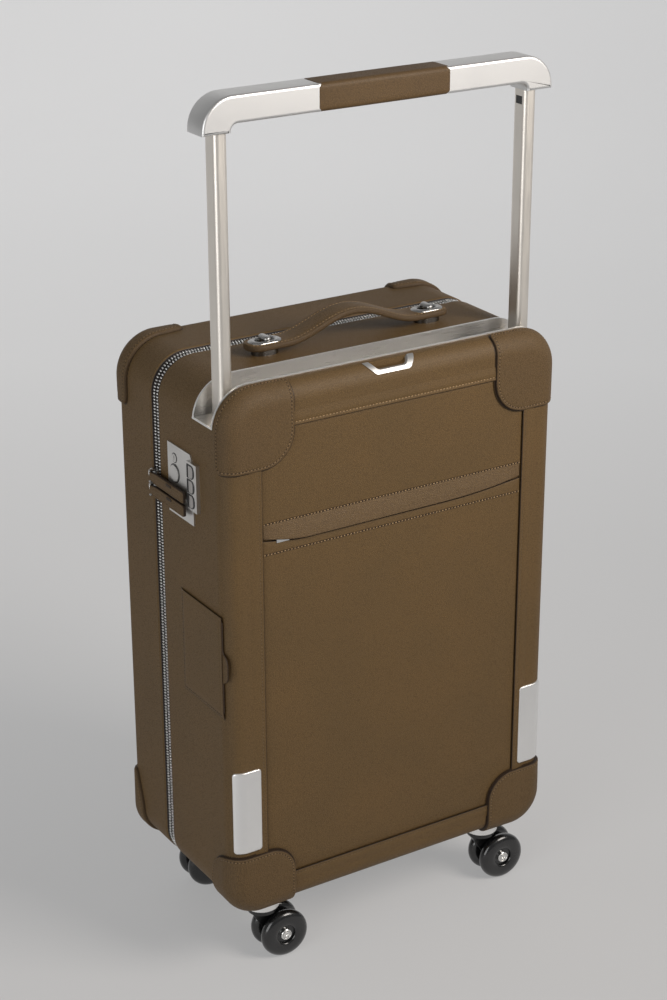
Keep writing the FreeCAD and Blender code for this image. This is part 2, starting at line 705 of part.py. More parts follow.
# Left side: lock, zip sliders and name tag

def make_lock():
    """Combination lock with its dials, push button and key cylinder."""
    plate_y0 = FRONT_Y + LOCK_FROM_FRONT
    plate_points = [
        (plate_y0, LOCK_Z, 0),
        (plate_y0 + LOCK_W, LOCK_Z, 0),
        (plate_y0 + LOCK_W, LOCK_Z + LOCK_H, 0),
        (plate_y0 + LOCK_BEVEL_W, LOCK_Z + LOCK_H, 0),
        (plate_y0, LOCK_Z + LOCK_H - LOCK_BEVEL_H, 0),
    ]
    plate = along_x(plate_points, LEFT_X - LOCK_T, LEFT_X)
    strip_y0 = FRONT_Y + STRIP_FROM_FRONT
    strip = box(LEFT_X - STRIP_T, LEFT_X, strip_y0, strip_y0 + STRIP_W, STRIP_Z, STRIP_Z + STRIP_H)
    plate = plate.fuse(strip).removeSplitter()
    tube_room = mirrored(post_block(POST_GAP + GUIDE_T + FIT_GAP, STRIP_Z, STRIP_Z + STRIP_H))
    body = lock_block(0, LEFT_X, LEFT_X + LOCK_DEPTH).cut(tube_room)
    axis_x = LEFT_X - STRIP_T - DIAL_PROUD + DIAL_R
    axis_y = FRONT_Y + DIAL_FROM_FRONT
    axle = rod(DIAL_AXLE_R, (axis_x, axis_y, STRIP_Z + LOCK_INSET),
               (axis_x, axis_y, STRIP_Z + STRIP_H - LOCK_INSET))
    mid_z = STRIP_Z + STRIP_H / 2
    for i in range(DIAL_COUNT):
        z = mid_z + DIAL_PITCH * ((DIAL_COUNT - 1) / 2 - i)
        room = rod(DIAL_R + DIAL_GAP, (axis_x, axis_y, z - DIAL_H / 2 - DIAL_GAP),
                   (axis_x, axis_y, z + DIAL_H / 2 + DIAL_GAP))
        plate = plate.cut(room)
        body = body.cut(room)
        dial = rod(DIAL_R, (axis_x, axis_y, z - DIAL_H / 2), (axis_x, axis_y, z + DIAL_H / 2))
        bore = rod(DIAL_AXLE_R + TURN_GAP, (axis_x, axis_y, z - DIAL_H), (axis_x, axis_y, z + DIAL_H))
        parts["dial_%d" % (i + 1)] = dial.cut(bore)
    body = body.cut(axle)
    y = FRONT_Y + LOCK_BUTTON_FROM_FRONT
    pieces = (
        ("lock_button", LOCK_BUTTON_Z, LOCK_BUTTON_R, LOCK_BUTTON_PROUD, LOCK_BUTTON_L, LOCK_BUTTON_TRAVEL),
        ("key_cylinder", KEY_Z, KEY_R, KEY_PROUD, KEY_L, 0),
    )
    for name, z, radius, proud, length, travel in pieces:
        x0 = LEFT_X - LOCK_T - proud
        bore = rod(radius + TURN_GAP, (x0, y, z), (x0 + length + travel + FIT_GAP, y, z))
        plate = plate.cut(bore)
        body = body.cut(bore)
        parts[name] = rod(radius, (x0, y, z), (x0 + length, y, z))
    key_x = LEFT_X - LOCK_T - KEY_PROUD
    keyhole = box(key_x, key_x + KEYHOLE_DEPTH, y - KEYHOLE_W / 2, y + KEYHOLE_W / 2,
                  KEY_Z - KEYHOLE_H / 2, KEY_Z + KEYHOLE_H / 2)
    parts["key_cylinder"] = parts["key_cylinder"].cut(keyhole)
    parts["lock_plate"] = plate
    parts["lock_case"] = body
    parts["dial_axle"] = axle


def make_sliders():
    """Two zip sliders, each with a leather pull that swings on its pin."""
    base_x1 = LEFT_X - SLIDER_GAP
    base_x0 = base_x1 - SLIDER_T
    pin_x = base_x0 - PULL_PIN_OFF
    pull_y = FRONT_Y + PULL_END_FROM_FRONT
    half = SLIDER_L / 2
    for name, z in (("upper", SLIDER_Z + SLIDER_PITCH / 2), ("lower", SLIDER_Z - SLIDER_PITCH / 2)):
        base = along_x(rectangle(ZIP_Y - SLIDER_W / 2, ZIP_Y + SLIDER_W / 2, z - half, z + half, SLIDER_R),
                       base_x0, base_x1)
        for ear_z in (z - half, z + half - EAR_T):
            ear = box(pin_x - EAR_W / 2, base_x0, ZIP_Y - EAR_W / 2, ZIP_Y + EAR_W / 2, ear_z, ear_z + EAR_T)
            base = base.fuse(ear)
        base = base.fuse(rod(PULL_PIN_R, (pin_x, ZIP_Y, z - half), (pin_x, ZIP_Y, z + half)))
        parts["zip_slider_" + name] = base.removeSplitter()
        neck = PULL_NECK_W / 2
        eye = rod(PULL_EYE_R, (pin_x, ZIP_Y, z - neck), (pin_x, ZIP_Y, z + neck))
        neck_y = ZIP_Y - PULL_NECK_L
        tongue = along_x(rectangle(pull_y, neck_y, z - PULL_W / 2, z + PULL_W / 2, PULL_R),
                         pin_x - PULL_T / 2, pin_x + PULL_T / 2)
        link = box(pin_x - PULL_T / 2, pin_x + PULL_T / 2, neck_y - PULL_R, ZIP_Y, z - neck, z + neck)
        bore = rod(PULL_PIN_R + TURN_GAP, (pin_x, ZIP_Y, z - half), (pin_x, ZIP_Y, z + half))
        parts["zip_pull_" + name] = eye.fuse(link).fuse(tongue).removeSplitter().cut(bore)


def make_tag():
    """Leather pocket on the side, open at its top and front, and the name tag in it."""
    y0 = FRONT_Y + TAG_FROM_FRONT
    y1 = y0 + TAG_W
    z1 = TAG_Z + TAG_H
    slot_x = LEFT_X - TAG_SLOT_T
    pocket = box(slot_x - TAG_LEATHER_T, LEFT_X, y0, y1, TAG_Z, z1)
    slot = box(slot_x, LEFT_X, y0, y1 - TAG_SEAM, TAG_Z + TAG_SEAM, z1)
    parts["tag_pocket"] = pocket.cut(slot)
    card_x = LEFT_X - (TAG_SLOT_T - TAG_CARD_T) / 2
    card = box(card_x - TAG_CARD_T, card_x, y0, y1 - TAG_SEAM - FIT_GAP, TAG_Z + TAG_SEAM + FIT_GAP,
               z1 - TAG_SEAM)
    tab_y = y0 - TAG_TAB_OUT + TAG_TAB_R
    tab = rod(TAG_TAB_R, (card_x - TAG_CARD_T, tab_y, TAG_TAB_Z), (card_x, tab_y, TAG_TAB_Z))
    parts["name_tag"] = card.fuse(tab).removeSplitter()


# Casters

def make_casters(front_patch, rear_corner):
    """Four swivelling casters, their caps fitted to the leather under the case."""
    plate_top = CAP_Z - PLATE_GAP
    plate_z = plate_top - PLATE_H
    lean = TRAIL + BOSS_R
    web_points = [
        (-PLATE_R + WEB_T / 2, plate_z + PLATE_H / 2, 0),
        (-PLATE_R + WEB_T / 2, plate_z - WEB_T / 2, WEB_T / 2),
        (TRAIL - BOSS_R, AXLE_Z - BOSS_R, BOSS_EDGE_R),
        (lean, AXLE_Z - BOSS_R, BOSS_EDGE_R),
        (lean, AXLE_Z + BOSS_R, BOSS_EDGE_R),
        (PLATE_R - WEB_T / 2, plate_z + PLATE_H / 2, 0),
    ]
    fork = along_y(web_points, -WEB_T / 2, WEB_T / 2)
    fork = fork.fuse(rod(PLATE_R, (0, 0, plate_z), (0, 0, plate_top)))
    fork = fork.fuse(rod(KINGPIN_R, (0, 0, plate_top), (0, 0, CAP_Z + KINGPIN_L))).removeSplitter()
    fork = fork.cut(rod(AXLE_R + SPIN_GAP, (TRAIL, -WEB_T, AXLE_Z), (TRAIL, WEB_T, AXLE_Z)))
    inner = WEB_T / 2 + WHEEL_GAP
    outer = inner + WHEEL_W
    tyre = rod(WHEEL_R, (TRAIL, inner, AXLE_Z), (TRAIL, outer, AXLE_Z))
    tyre = tyre.makeFillet(WHEEL_EDGE_R, edges_at_y(tyre, inner) + edges_at_y(tyre, outer))
    tyre = tyre.cut(rod(HUB_R, (TRAIL, outer - HUB_DEPTH, AXLE_Z), (TRAIL, outer, AXLE_Z)))
    tyre = tyre.cut(rod(AXLE_R, (TRAIL, inner, AXLE_Z), (TRAIL, outer, AXLE_Z)))
    across = tyre.mirror(Vector(0, 0, 0), Vector(0, 1, 0))
    wheels = Part.makeCompound([tyre, across])
    hub = outer - HUB_DEPTH
    axle = rod(AXLE_R, (TRAIL, -hub, AXLE_Z), (TRAIL, hub, AXLE_Z))
    for side in (-1, 1):
        head = rod(AXLE_HEAD_R, (TRAIL, side * hub, AXLE_Z), (TRAIL, side * (hub + AXLE_HEAD_H), AXLE_Z))
        axle = axle.fuse(head)
    caps = {"front": [], "rear": []}
    bodies = {"front": (front_body(0), front_patch), "rear": (rear_body(0), rear_corner)}
    for name, (x, y) in CASTERS.items():
        for kind, shape in (("fork", fork), ("wheels", wheels), ("axle", axle)):
            placed = shape.copy()
            placed.rotate(Vector(0, 0, 0), Vector(0, 0, 1), CASTER_TURN)
            placed.translate(Vector(x, y, 0))
            parts["caster_%s_%s" % (kind, name)] = placed
        end = name.split("_")[0]
        above, leather = bodies[end]
        cap = rod(CAP_R, (x, y, CAP_Z), (x, y, BASE_Z + FRONT_EDGE_R))
        cap = cap.cut(above).cut(leather).cut(mirrored(leather))
        bore = rod(KINGPIN_R + SPIN_GAP, (x, y, CAP_Z), (x, y, CAP_Z + KINGPIN_L + FIT_GAP))
        caps[end].append(cap.cut(bore))
    parts["front_caster_caps"] = Part.makeCompound(caps["front"])
    parts["rear_caster_caps"] = Part.makeCompound(caps["rear"])


make_case()
make_linings()
make_lid()
make_zip()
low_patch, low_corner = make_corners()
make_tray()
make_trolley()
make_carry_handle()
make_lock()
make_sliders()
make_tag()
make_casters(low_patch, low_corner)

os.makedirs("parts", exist_ok=True)
for node, shape in parts.items():
    if not shape.isValid() or not shape.Solids:
        raise ValueError("%s is not a sound solid" % node)
    shape.exportStep("parts/%s.step" % node)
print(len(parts), "pieces,", sum(len(s.Solids) for s in parts.values()), "solids")
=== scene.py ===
"""Looks of an upright leather carry-on case on four casters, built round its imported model."""

import logging
import math
from dataclasses import dataclass, field
from enum import Enum
from typing import Callable, Iterable, Protocol, Sequence

import bmesh
import bpy
import numpy as np
from mathutils import Matrix, Vector


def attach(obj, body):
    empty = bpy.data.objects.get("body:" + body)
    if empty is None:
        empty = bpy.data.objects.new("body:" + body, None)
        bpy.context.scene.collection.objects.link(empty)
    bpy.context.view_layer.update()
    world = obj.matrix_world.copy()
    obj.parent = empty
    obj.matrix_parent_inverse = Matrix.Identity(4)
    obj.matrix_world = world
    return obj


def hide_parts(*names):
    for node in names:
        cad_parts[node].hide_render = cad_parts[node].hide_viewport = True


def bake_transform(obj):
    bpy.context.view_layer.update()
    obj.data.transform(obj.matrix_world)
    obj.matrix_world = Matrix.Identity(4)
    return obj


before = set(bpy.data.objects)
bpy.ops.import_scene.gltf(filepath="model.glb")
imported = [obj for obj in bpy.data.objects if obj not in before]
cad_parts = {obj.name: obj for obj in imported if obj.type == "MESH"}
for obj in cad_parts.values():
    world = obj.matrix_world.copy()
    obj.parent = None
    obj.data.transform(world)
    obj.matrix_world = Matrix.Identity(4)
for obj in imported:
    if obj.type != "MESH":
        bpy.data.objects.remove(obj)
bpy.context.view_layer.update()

Array = np.ndarray
Pair = tuple[float, float]
Pairs = Sequence[Pair]
Point = tuple[float, float, float]
Colour = tuple[float, float, float]
Outline = Sequence[Point]
Place = Callable[[Array, Array, Array], Array]
Face = tuple[int, ...]
Skin = tuple[Array, list[Face]]

MM = 0.001
SOFT_FOLD = 60.0
LOG = logging.getLogger("suitcase")


def tint(red: int, green: int, blue: int) -> Colour:
    """Turns a screen colour into the linear colour that a shader takes.

    Args:
        red: Red from 0 to 255.
        green: Green from 0 to 255.
        blue: Blue from 0 to 255.

    Returns:
        The linear colour.
    """
    def linear(channel: int) -> float:
        """One channel made linear."""
        share = channel / 255
        return share / 12.92 if share <= 0.04045 else ((share + 0.055) / 1.055) ** 2.4

    return linear(red), linear(green), linear(blue)


# Finishes

class NodeSketch:
    """Short ways to add nodes to a tree."""

    def __init__(self, tree: bpy.types.NodeTree) -> None:
        """Takes the tree that it adds to."""
        self.tree = tree

    def add(self, kind: str, inputs: dict | None = None, **settings: object) -> bpy.types.Node:
        """Adds a node.

        Args:
            kind: The node's type.
            inputs: Values or sockets for its inputs, by name or number.
            **settings: The node's own properties.

        Returns:
            The node.
        """
        node = self.tree.nodes.new(kind)
        for key, value in settings.items():
            setattr(node, key, value)
        for key, value in (inputs or {}).items():
            self.feed(node.inputs[key], value)
        return node

    def feed(self, socket: bpy.types.NodeSocket, value: object) -> None:
        """Links a socket to another one, or sets its value.

        Args:
            socket: The socket to feed.
            value: The socket or value that it takes.
        """
        if isinstance(value, bpy.types.NodeSocket):
            self.tree.links.new(value, socket)
        else:
            socket.default_value = value

    def calc(self, operation: str, *values: object) -> bpy.types.NodeSocket:
        """Result of a mathematical operation on sockets or numbers."""
        return self.add("ShaderNodeMath", dict(enumerate(values)), operation=operation).outputs[0]

    def spread(self, value: object, low: float, high: float, to_low: float,
               to_high: float) -> bpy.types.NodeSocket:
        """Maps a value from one range to another and clamps it.

        Args:
            value: The socket to map.
            low: Low end of its range.
            high: High end of its range.
            to_low: What the low end becomes.
            to_high: What the high end becomes.

        Returns:
            The mapped value.
        """
        inputs = {"Value": value, "From Min": low, "From Max": high, "To Min": to_low, "To Max": to_high}
        return self.add("ShaderNodeMapRange", inputs).outputs[0]


class ShaderSketch(NodeSketch):
    """A new material with its shader, and short ways to paint and raise it."""

    def __init__(self, name: str) -> None:
        """Makes the material.

        Args:
            name: The material's name.
        """
        self.material = bpy.data.materials.new(name)
        self.material.use_nodes = True
        super().__init__(self.material.node_tree)
        self.shader = self.tree.nodes["Principled BSDF"]
        self.coords = self.add("ShaderNodeTexCoord").outputs["Object"]

    def surface(self, **values: object) -> None:
        """Sets or links inputs of the shader, with underscores for spaces in their names."""
        for key, value in values.items():
            self.feed(self.shader.inputs[key.replace("_", " ")], value)

    def paint(self, socket: bpy.types.NodeSocket) -> None:
        """Links the shader's colour."""
        self.feed(self.shader.inputs["Base Color"], socket)

    def noise(self, scale: float, detail: float, vector: object = None) -> bpy.types.NodeSocket:
        """Cloudy noise from 0 to 1.

        Args:
            scale: Cells in a metre.
            detail: How many finer layers it has.
            vector: Coordinates, or None for the object's own.

        Returns:
            The noise's value.
        """
        inputs = {"Vector": vector or self.coords, "Scale": scale, "Detail": detail}
        return self.add("ShaderNodeTexNoise", inputs).outputs[0]

    def stretched(self, scale: Point) -> bpy.types.NodeSocket:
        """The object's coordinates with each axis scaled."""
        return self.add("ShaderNodeMapping", {"Vector": self.coords, "Scale": scale}).outputs[0]

    def blend(self, share: object, first: object, second: object) -> bpy.types.NodeSocket:
        """Mixes two colours.

        Args:
            share: Socket or number, 0 for the first and 1 for the second.
            first: Socket or linear colour.
            second: Socket or linear colour.

        Returns:
            The mixed colour.
        """
        colours = [c if isinstance(c, bpy.types.NodeSocket) else (*c, 1.0) for c in (first, second)]
        node = self.add("ShaderNodeMix", {0: share, 6: colours[0], 7: colours[1]}, data_type="RGBA")
        return node.outputs[2]

    def sum(self, first: object, second: object, weight: float = 1.0) -> bpy.types.NodeSocket:
        """The second value times its weight, added to the first."""
        return self.calc("MULTIPLY_ADD", second, weight, first)

    def bump(self, height: object, depth_mm: float, strength: float) -> None:
        """Raises the surface by a height field of a given depth."""
        inputs = {"Height": height, "Distance": depth_mm * MM, "Strength": strength}
        self.surface(Normal=self.add("ShaderNodeBump", inputs).outputs[0])


class Finish(Protocol):
    """Anything that can make a material."""

    name: str

    def build(self) -> bpy.types.Material:
        """Makes the material."""


@dataclass(frozen=True)
class Leather:
    """Fine-grained calf leather, with burnished edges where a piece marks them."""

    name: str
    tone: Colour
    deep: Colour
    warm: Colour
    rim: Colour = tint(46, 33, 22)
    cells_per_metre: float = 820.0
    roughness: float = 0.5
    relief_mm: float = 0.10
    drift_cells: float = 300.0
    drift_mm: float = 1.2
    fine_cells: float = 2600.0
    fine_share: float = 0.25
    cloud_cells: float = 14.0
    pore_share: float = 0.55
    pore_roughness: float = 0.14

    def build(self) -> bpy.types.Material:
        """Makes the material.

        Returns:
            Leather with a pebbled relief, cloudy tone and dark cut edges.
        """
        s = ShaderSketch(self.name)
        drift = s.add("ShaderNodeTexNoise",
                      {"Vector": s.coords, "Scale": self.drift_cells, "Detail": 2.0}).outputs[1]
        shift = s.add("ShaderNodeVectorMath", {0: drift, 1: (self.drift_mm * MM,) * 3},
                      operation="MULTIPLY").outputs[0]
        moved = s.add("ShaderNodeVectorMath", {0: s.coords, 1: shift}, operation="ADD").outputs[0]
        cells = s.add("ShaderNodeTexVoronoi", {"Vector": moved, "Scale": self.cells_per_metre},
                      feature="DISTANCE_TO_EDGE").outputs["Distance"]
        pebble = s.spread(cells, 0.02, 0.28, 0.0, 1.0)
        fine = s.noise(self.fine_cells, 2.0)
        cloud = s.spread(s.noise(self.cloud_cells, 4.0), 0.35, 0.68, 0.0, 1.0)
        shade = s.blend(cloud, self.tone, self.warm)
        shade = s.blend(s.spread(pebble, 0.0, 0.7, self.pore_share, 0.0), shade, self.deep)
        edge = s.add("ShaderNodeAttribute", attribute_name="rim").outputs["Fac"]
        s.paint(s.blend(edge, shade, self.rim))
        gloss = s.spread(pebble, 0.0, 1.0, self.roughness + self.pore_roughness, self.roughness)
        s.surface(Roughness=gloss, Specular_IOR_Level=0.32)
        s.bump(s.sum(pebble, fine, self.fine_share), self.relief_mm, 0.8)
        return s.material


class Brush(Enum):
    """Which way the fine lines of a worked metal run."""

    ALONG_X = (40.0, 2200.0, 2200.0)
    ALONG_Z = (2200.0, 2200.0, 40.0)
    BLASTED = (1500.0, 1500.0, 1500.0)


@dataclass(frozen=True)
class Metal:
    """Worked metal with fine lines or a blasted face, and where set, painted shade that darkens it towards
    the bottom.
    """

    name: str
    tone: Colour
    dull: Colour
    roughness: float
    brush: Brush = Brush.BLASTED
    relief_mm: float = 0.006
    painted_shade_below: Pair | None = None
    painted_shade_share: float = 0.5
    cloud_cells: float = 30.0
    gloss_range: Pair = (-0.05, 0.07)

    def build(self) -> bpy.types.Material:
        """Makes the material.

        Returns:
            Metal with a fine grain in its gloss and a faint cloudiness in its tone, darkened below a height
            as painted shade where that is set.
        """
        s = ShaderSketch(self.name)
        grain = s.noise(1.0, 2.0, s.stretched(self.brush.value))
        cloud = s.noise(self.cloud_cells, 3.0)
        shade = s.blend(s.spread(cloud, 0.35, 0.7, 0.0, 0.6), self.tone, self.dull)
        # Painted shade: below the given heights the tone falls to a dim copy of the dull tone, standing in
        # for shade near the tray's floor.
        if self.painted_shade_below:
            height = s.add("ShaderNodeSeparateXYZ", {0: s.coords}).outputs[2]
            dim = tuple(self.painted_shade_share * c for c in self.dull)
            shade = s.blend(s.spread(height, *self.painted_shade_below, 1.0, 0.0), shade, dim)
        s.paint(shade)
        low, high = (self.roughness + change for change in self.gloss_range)
        gloss = s.spread(s.sum(grain, cloud, 0.4), 0.45, 0.95, low, high)
        s.surface(Metallic=1.0, Roughness=gloss)
        s.bump(grain, self.relief_mm, 0.5)
        return s.material


@dataclass(frozen=True)
class Moulded:
    """Moulded plastic or rubber with a faint texture and handling marks."""

    name: str
    tone: Colour
    scuff: Colour
    roughness: float
    coat: float = 0.0
    relief_mm: float = 0.02
    cloud_cells: float = 60.0
    texture_cells: float = 2200.0
    scuff_roughness: float = 0.1

    def build(self) -> bpy.types.Material:
        """Makes the material.

        Returns:
            Plastic with a fine texture and slightly paler scuffs.
        """
        s = ShaderSketch(self.name)
        cloud = s.noise(self.cloud_cells, 4.0)
        texture = s.noise(self.texture_cells, 2.0)
        s.paint(s.blend(s.spread(cloud, 0.5, 0.75, 0.0, 0.7), self.tone, self.scuff))
        gloss = s.spread(cloud, 0.3, 0.75, self.roughness, self.roughness + self.scuff_roughness)
        s.surface(Roughness=gloss, Coat_Weight=self.coat, Coat_Roughness=0.06)
        s.bump(texture, self.relief_mm, 0.35)
        return s.material


@dataclass(frozen=True)
class Woven:
    """Plain woven cloth or tape."""

    name: str
    warp: Colour
    weft: Colour
    threads_per_metre: float = 900.0
    threads_per_wave: float = 20.0
    cloud_cells: float = 25.0
    relief_mm: float = 0.08

    def build(self) -> bpy.types.Material:
        """Makes the material.

        Returns:
            Cloth with crossed threads in its colour and relief.
        """
        s = ShaderSketch(self.name)
        waves = []
        for direction in ("X", "Y", "Z"):
            inputs = {"Vector": s.coords, "Scale": self.threads_per_metre / self.threads_per_wave,
                      "Distortion": 0.6, "Detail": 1.0}
            waves.append(s.add("ShaderNodeTexWave", inputs, bands_direction=direction).outputs[1])
        weave = s.sum(s.sum(waves[0], waves[1]), waves[2])
        cloud = s.noise(self.cloud_cells, 3.0)
        s.paint(s.blend(s.spread(s.sum(weave, cloud, 0.8), 0.8, 2.4, 0.0, 1.0), self.warp, self.weft))
        s.surface(Roughness=0.85, Sheen_Weight=0.15, Sheen_Roughness=0.6)
        s.bump(weave, self.relief_mm, 0.5)
        return s.material


@dataclass(frozen=True)
class Thread:
    """Waxed sewing thread."""

    name: str
    tone: Colour
    worn: Colour
    wear_cells: float = 240.0
    fibre_cells: float = 5000.0
    relief_mm: float = 0.04

    def build(self) -> bpy.types.Material:
        """Makes the material.

        Returns:
            Thread whose tone varies from stitch to stitch.
        """
        s = ShaderSketch(self.name)
        wear = s.spread(s.noise(self.wear_cells, 2.0), 0.35, 0.65, 0.0, 1.0)
        s.paint(s.blend(wear, self.tone, self.worn))
        s.surface(Roughness=0.62, Sheen_Weight=0.1)
        s.bump(s.noise(self.fibre_cells, 1.0), self.relief_mm, 0.6)
        return s.material


@dataclass(frozen=True)
class PaleSweep:
    """Matt paper of the studio floor and backdrop."""

    name: str
    tone: Colour
    shade: Colour
    glow: Pair = (0.57, 0.86)
    way_back: Point = (0.531, 0.847, 0.6)
    glow_depth: float = 1.5
    glow_share: float = 0.5
    cloud_cells: float = 1.5

    def build(self) -> bpy.types.Material:
        """Makes the material.

        Returns:
            Matt paper with a faint cloudiness, evened out where the camera or a reflection sees it.
        """
        s = ShaderSketch(self.name)
        cloud = s.spread(s.noise(self.cloud_cells, 2.0), 0.3, 0.7, 0.0, 1.0)
        s.paint(s.blend(cloud, self.tone, self.shade))
        s.surface(Roughness=0.9, Specular_IOR_Level=0.15)
        rays = s.add("ShaderNodeLightPath").outputs
        seen = s.calc("MAXIMUM", rays["Is Camera Ray"], rays["Is Glossy Ray"])
        seen = s.calc("MAXIMUM", seen, rays["Is Transmission Ray"])
        share = s.calc("MULTIPLY", seen, self.glow_share)
        depth = s.add("ShaderNodeVectorMath", {0: s.coords, 1: self.way_back},
                      operation="DOT_PRODUCT").outputs["Value"]
        strength = s.spread(depth, 0.0, self.glow_depth, *self.glow)
        light = s.add("ShaderNodeEmission", {"Strength": strength}).outputs[0]
        mixed = s.add("ShaderNodeMixShader", {0: share, 1: s.shader.outputs[0], 2: light}).outputs[0]
        s.feed(s.tree.nodes["Material Output"].inputs["Surface"], mixed)
        return s.material


CASE_LEATHER = Leather("case_leather", tint(98, 77, 46), tint(65, 48, 28), tint(103, 80, 47))
TRIM_LEATHER = Leather("trim_leather", tint(96, 75, 46), tint(59, 44, 26), tint(100, 78, 47),
                       relief_mm=0.16)
EDGE_LEATHER = Leather("inner_leather", tint(90, 72, 48), tint(60, 46, 31), tint(94, 74, 49),
                       relief_mm=0.08)
SLEEVE_LEATHER = Leather("sleeve_leather", tint(91, 70, 42), tint(57, 42, 25), tint(95, 73, 43),
                         relief_mm=0.07)
# Lip leather: a coarser grain than the case's, and a lighter tone as painted light, for the light that the
# rolled lip catches.
LIT_LIP_LEATHER = Leather("lip_leather", tint(105, 84, 56), tint(62, 46, 30), tint(109, 87, 58),
                      cells_per_metre=700.0, relief_mm=0.26)
# Dark leather for pressed stitch grooves and lines, and for painted shade: shadow lines round patches and the
# pull's slit.
GROOVE_AND_SHADE = Leather("groove_and_shade_leather", tint(50, 36, 21), tint(34, 24, 14), tint(54, 39, 23), relief_mm=0.05)
SATIN = Metal("satin_aluminium", (0.90, 0.895, 0.885), (0.85, 0.845, 0.835), 0.40)
GRIP_METAL = Metal("cast_aluminium", (0.74, 0.737, 0.73), (0.70, 0.697, 0.69), 0.42)
# A darker copy of the rim metal for the finger notch: painted shade that stands in for less of the key lamp's
# reflection.
SHADED_NOTCH_METAL = Metal("notch_metal", (0.52, 0.515, 0.505), (0.46, 0.455, 0.445), 0.5)
POST_METAL = Metal("drawn_aluminium", (0.85, 0.805, 0.74), (0.80, 0.755, 0.695), 0.38, Brush.ALONG_Z, 0.002)
# The tray's metal carries painted shade, darker towards its floor.
TRAY_METAL = Metal("brushed_tray", (0.90, 0.885, 0.865), (0.85, 0.84, 0.82), 0.30, Brush.ALONG_X, 0.002,
                   painted_shade_below=(0.518, 0.531))
RIM_METAL = Metal("polished_rim", (0.94, 0.935, 0.92), (0.90, 0.895, 0.88), 0.34)
BRIGHT = Metal("polished_metal", (0.80, 0.795, 0.78), (0.74, 0.735, 0.72), 0.18, relief_mm=0.002)
FITTING = Metal("plated_fittings", (0.44, 0.435, 0.425), (0.36, 0.355, 0.345), 0.28)
ZIP_METAL = Metal("zip_metal", (0.92, 0.915, 0.90), (0.84, 0.835, 0.82), 0.26)
LOCK_METAL = Metal("matt_plated_metal", (0.72, 0.705, 0.68), (0.62, 0.61, 0.59), 0.38)
# Dark metal of the carry handle's bases as painted shade: the bases sit in the shadow under the strap.
SHADED_BASE_METAL = Metal("painted_shade_bases", (0.20, 0.195, 0.19), (0.14, 0.136, 0.13), 0.22)
DIAL_METAL = Metal("dial_metal", (0.50, 0.48, 0.46), (0.40, 0.385, 0.37), 0.32)
# Dark metal of the lock's case; on the zip's tooth heads it is painted shade between the rows of teeth.
DARK_METAL = Metal("plain_dark_metal", (0.05, 0.045, 0.04), (0.03, 0.028, 0.025), 0.45)
TYRE = Moulded("wheel_black", tint(15, 15, 16), tint(24, 24, 25), 0.2, 0.6, 0.003)
BLACK = Moulded("black_plastic", tint(12, 12, 13), tint(20, 20, 21), 0.26, 0.3, 0.01)
CLOTH = Woven("lining_cloth", tint(118, 102, 84), tint(98, 83, 67))
BOARD = Woven("lining_board", tint(106, 92, 76), tint(90, 77, 63), 1200.0)
TAPE = Woven("zip_tape", tint(44, 30, 24), tint(28, 19, 15), 1300.0)
THREAD = Thread("tan_thread", tint(124, 99, 65), tint(106, 84, 55))
TONAL_THREAD = Thread("tonal_thread", tint(104, 82, 50), tint(88, 69, 43))
PALE_THREAD = Thread("pale_thread", tint(164, 134, 92), tint(138, 110, 74))
SWEEP = PaleSweep("pale_sweep", tint(214, 213, 213), tint(211, 210, 210))


class FinishShelf:
    """Materials that are made once and shared by the pieces."""

    def __init__(self) -> None:
        """Starts with an empty shelf."""
        self._made: dict[str, bpy.types.Material] = {}

    def get(self, finish: Finish) -> bpy.types.Material:
        """The finish's material, made on first use.

        Args:
            finish: The finish.

        Returns:
            Its material.
        """
        if finish.name not in self._made:
            self._made[finish.name] = finish.build()
        return self._made[finish.name]


SHELF = FinishShelf()


# Shapes

def rounded_outline(corners: Outline, inset: float, arc_steps: int, edge_steps: int) -> Array:
    """Points round an outline with rounded corners, moved inwards by a distance.

    Args:
        corners: (u, v, radius) of each corner, counter-clockwise.
        inset: How far inside the outline the points run.
        arc_steps: Steps round each corner.
        edge_steps: Steps along each straight.

    Returns:
        Closed ring of (u, v) points, as many for any inset.
    """
    spots = np.array([c[:2] for c in corners], float)
    way_in = spots - np.roll(spots, 1, axis=0)
    way_in /= np.linalg.norm(way_in, axis=1)[:, None]
    way_out = np.roll(way_in, -1, axis=0)
    side_in = np.stack([-way_in[:, 1], way_in[:, 0]], axis=1)
    side_out = np.stack([-way_out[:, 1], way_out[:, 0]], axis=1)
    moved = spots + (side_in + side_out) * (inset / (1 + (side_in * side_out).sum(1)))[:, None]
    turn = np.arctan2(way_in[:, 0] * way_out[:, 1] - way_in[:, 1] * way_out[:, 0],
                      (way_in * way_out).sum(1))
    arcs = []
    for i, (_, _, radius) in enumerate(corners):
        bend = math.copysign(1.0, turn[i])
        size = max(radius - bend * inset, 0.05)
        start = moved[i] - way_in[i] * size * math.tan(abs(turn[i]) / 2)
        centre = start + side_in[i] * bend * size
        angles = np.linspace(0.0, turn[i], arc_steps + 1)
        spoke = start - centre
        turned = np.stack([spoke[0] * np.cos(angles) - spoke[1] * np.sin(angles),
                           spoke[0] * np.sin(angles) + spoke[1] * np.cos(angles)], axis=1)
        arcs.append(centre + turned)
    ring = []
    for i, arc in enumerate(arcs):
        ring.append(arc)
        share = np.linspace(0.0, 1.0, edge_steps + 1)[1:-1, None]
        ring.append(arc[-1] * (1 - share) + arcs[(i + 1) % len(arcs)][0] * share)
    return np.concatenate(ring)


def rectangle(u0: float, u1: float, v0: float, v1: float, radius: float) -> Outline:
    """Corners of a rectangle, all with one radius."""
    return [(u0, v0, radius), (u1, v0, radius), (u1, v1, radius), (u0, v1, radius)]


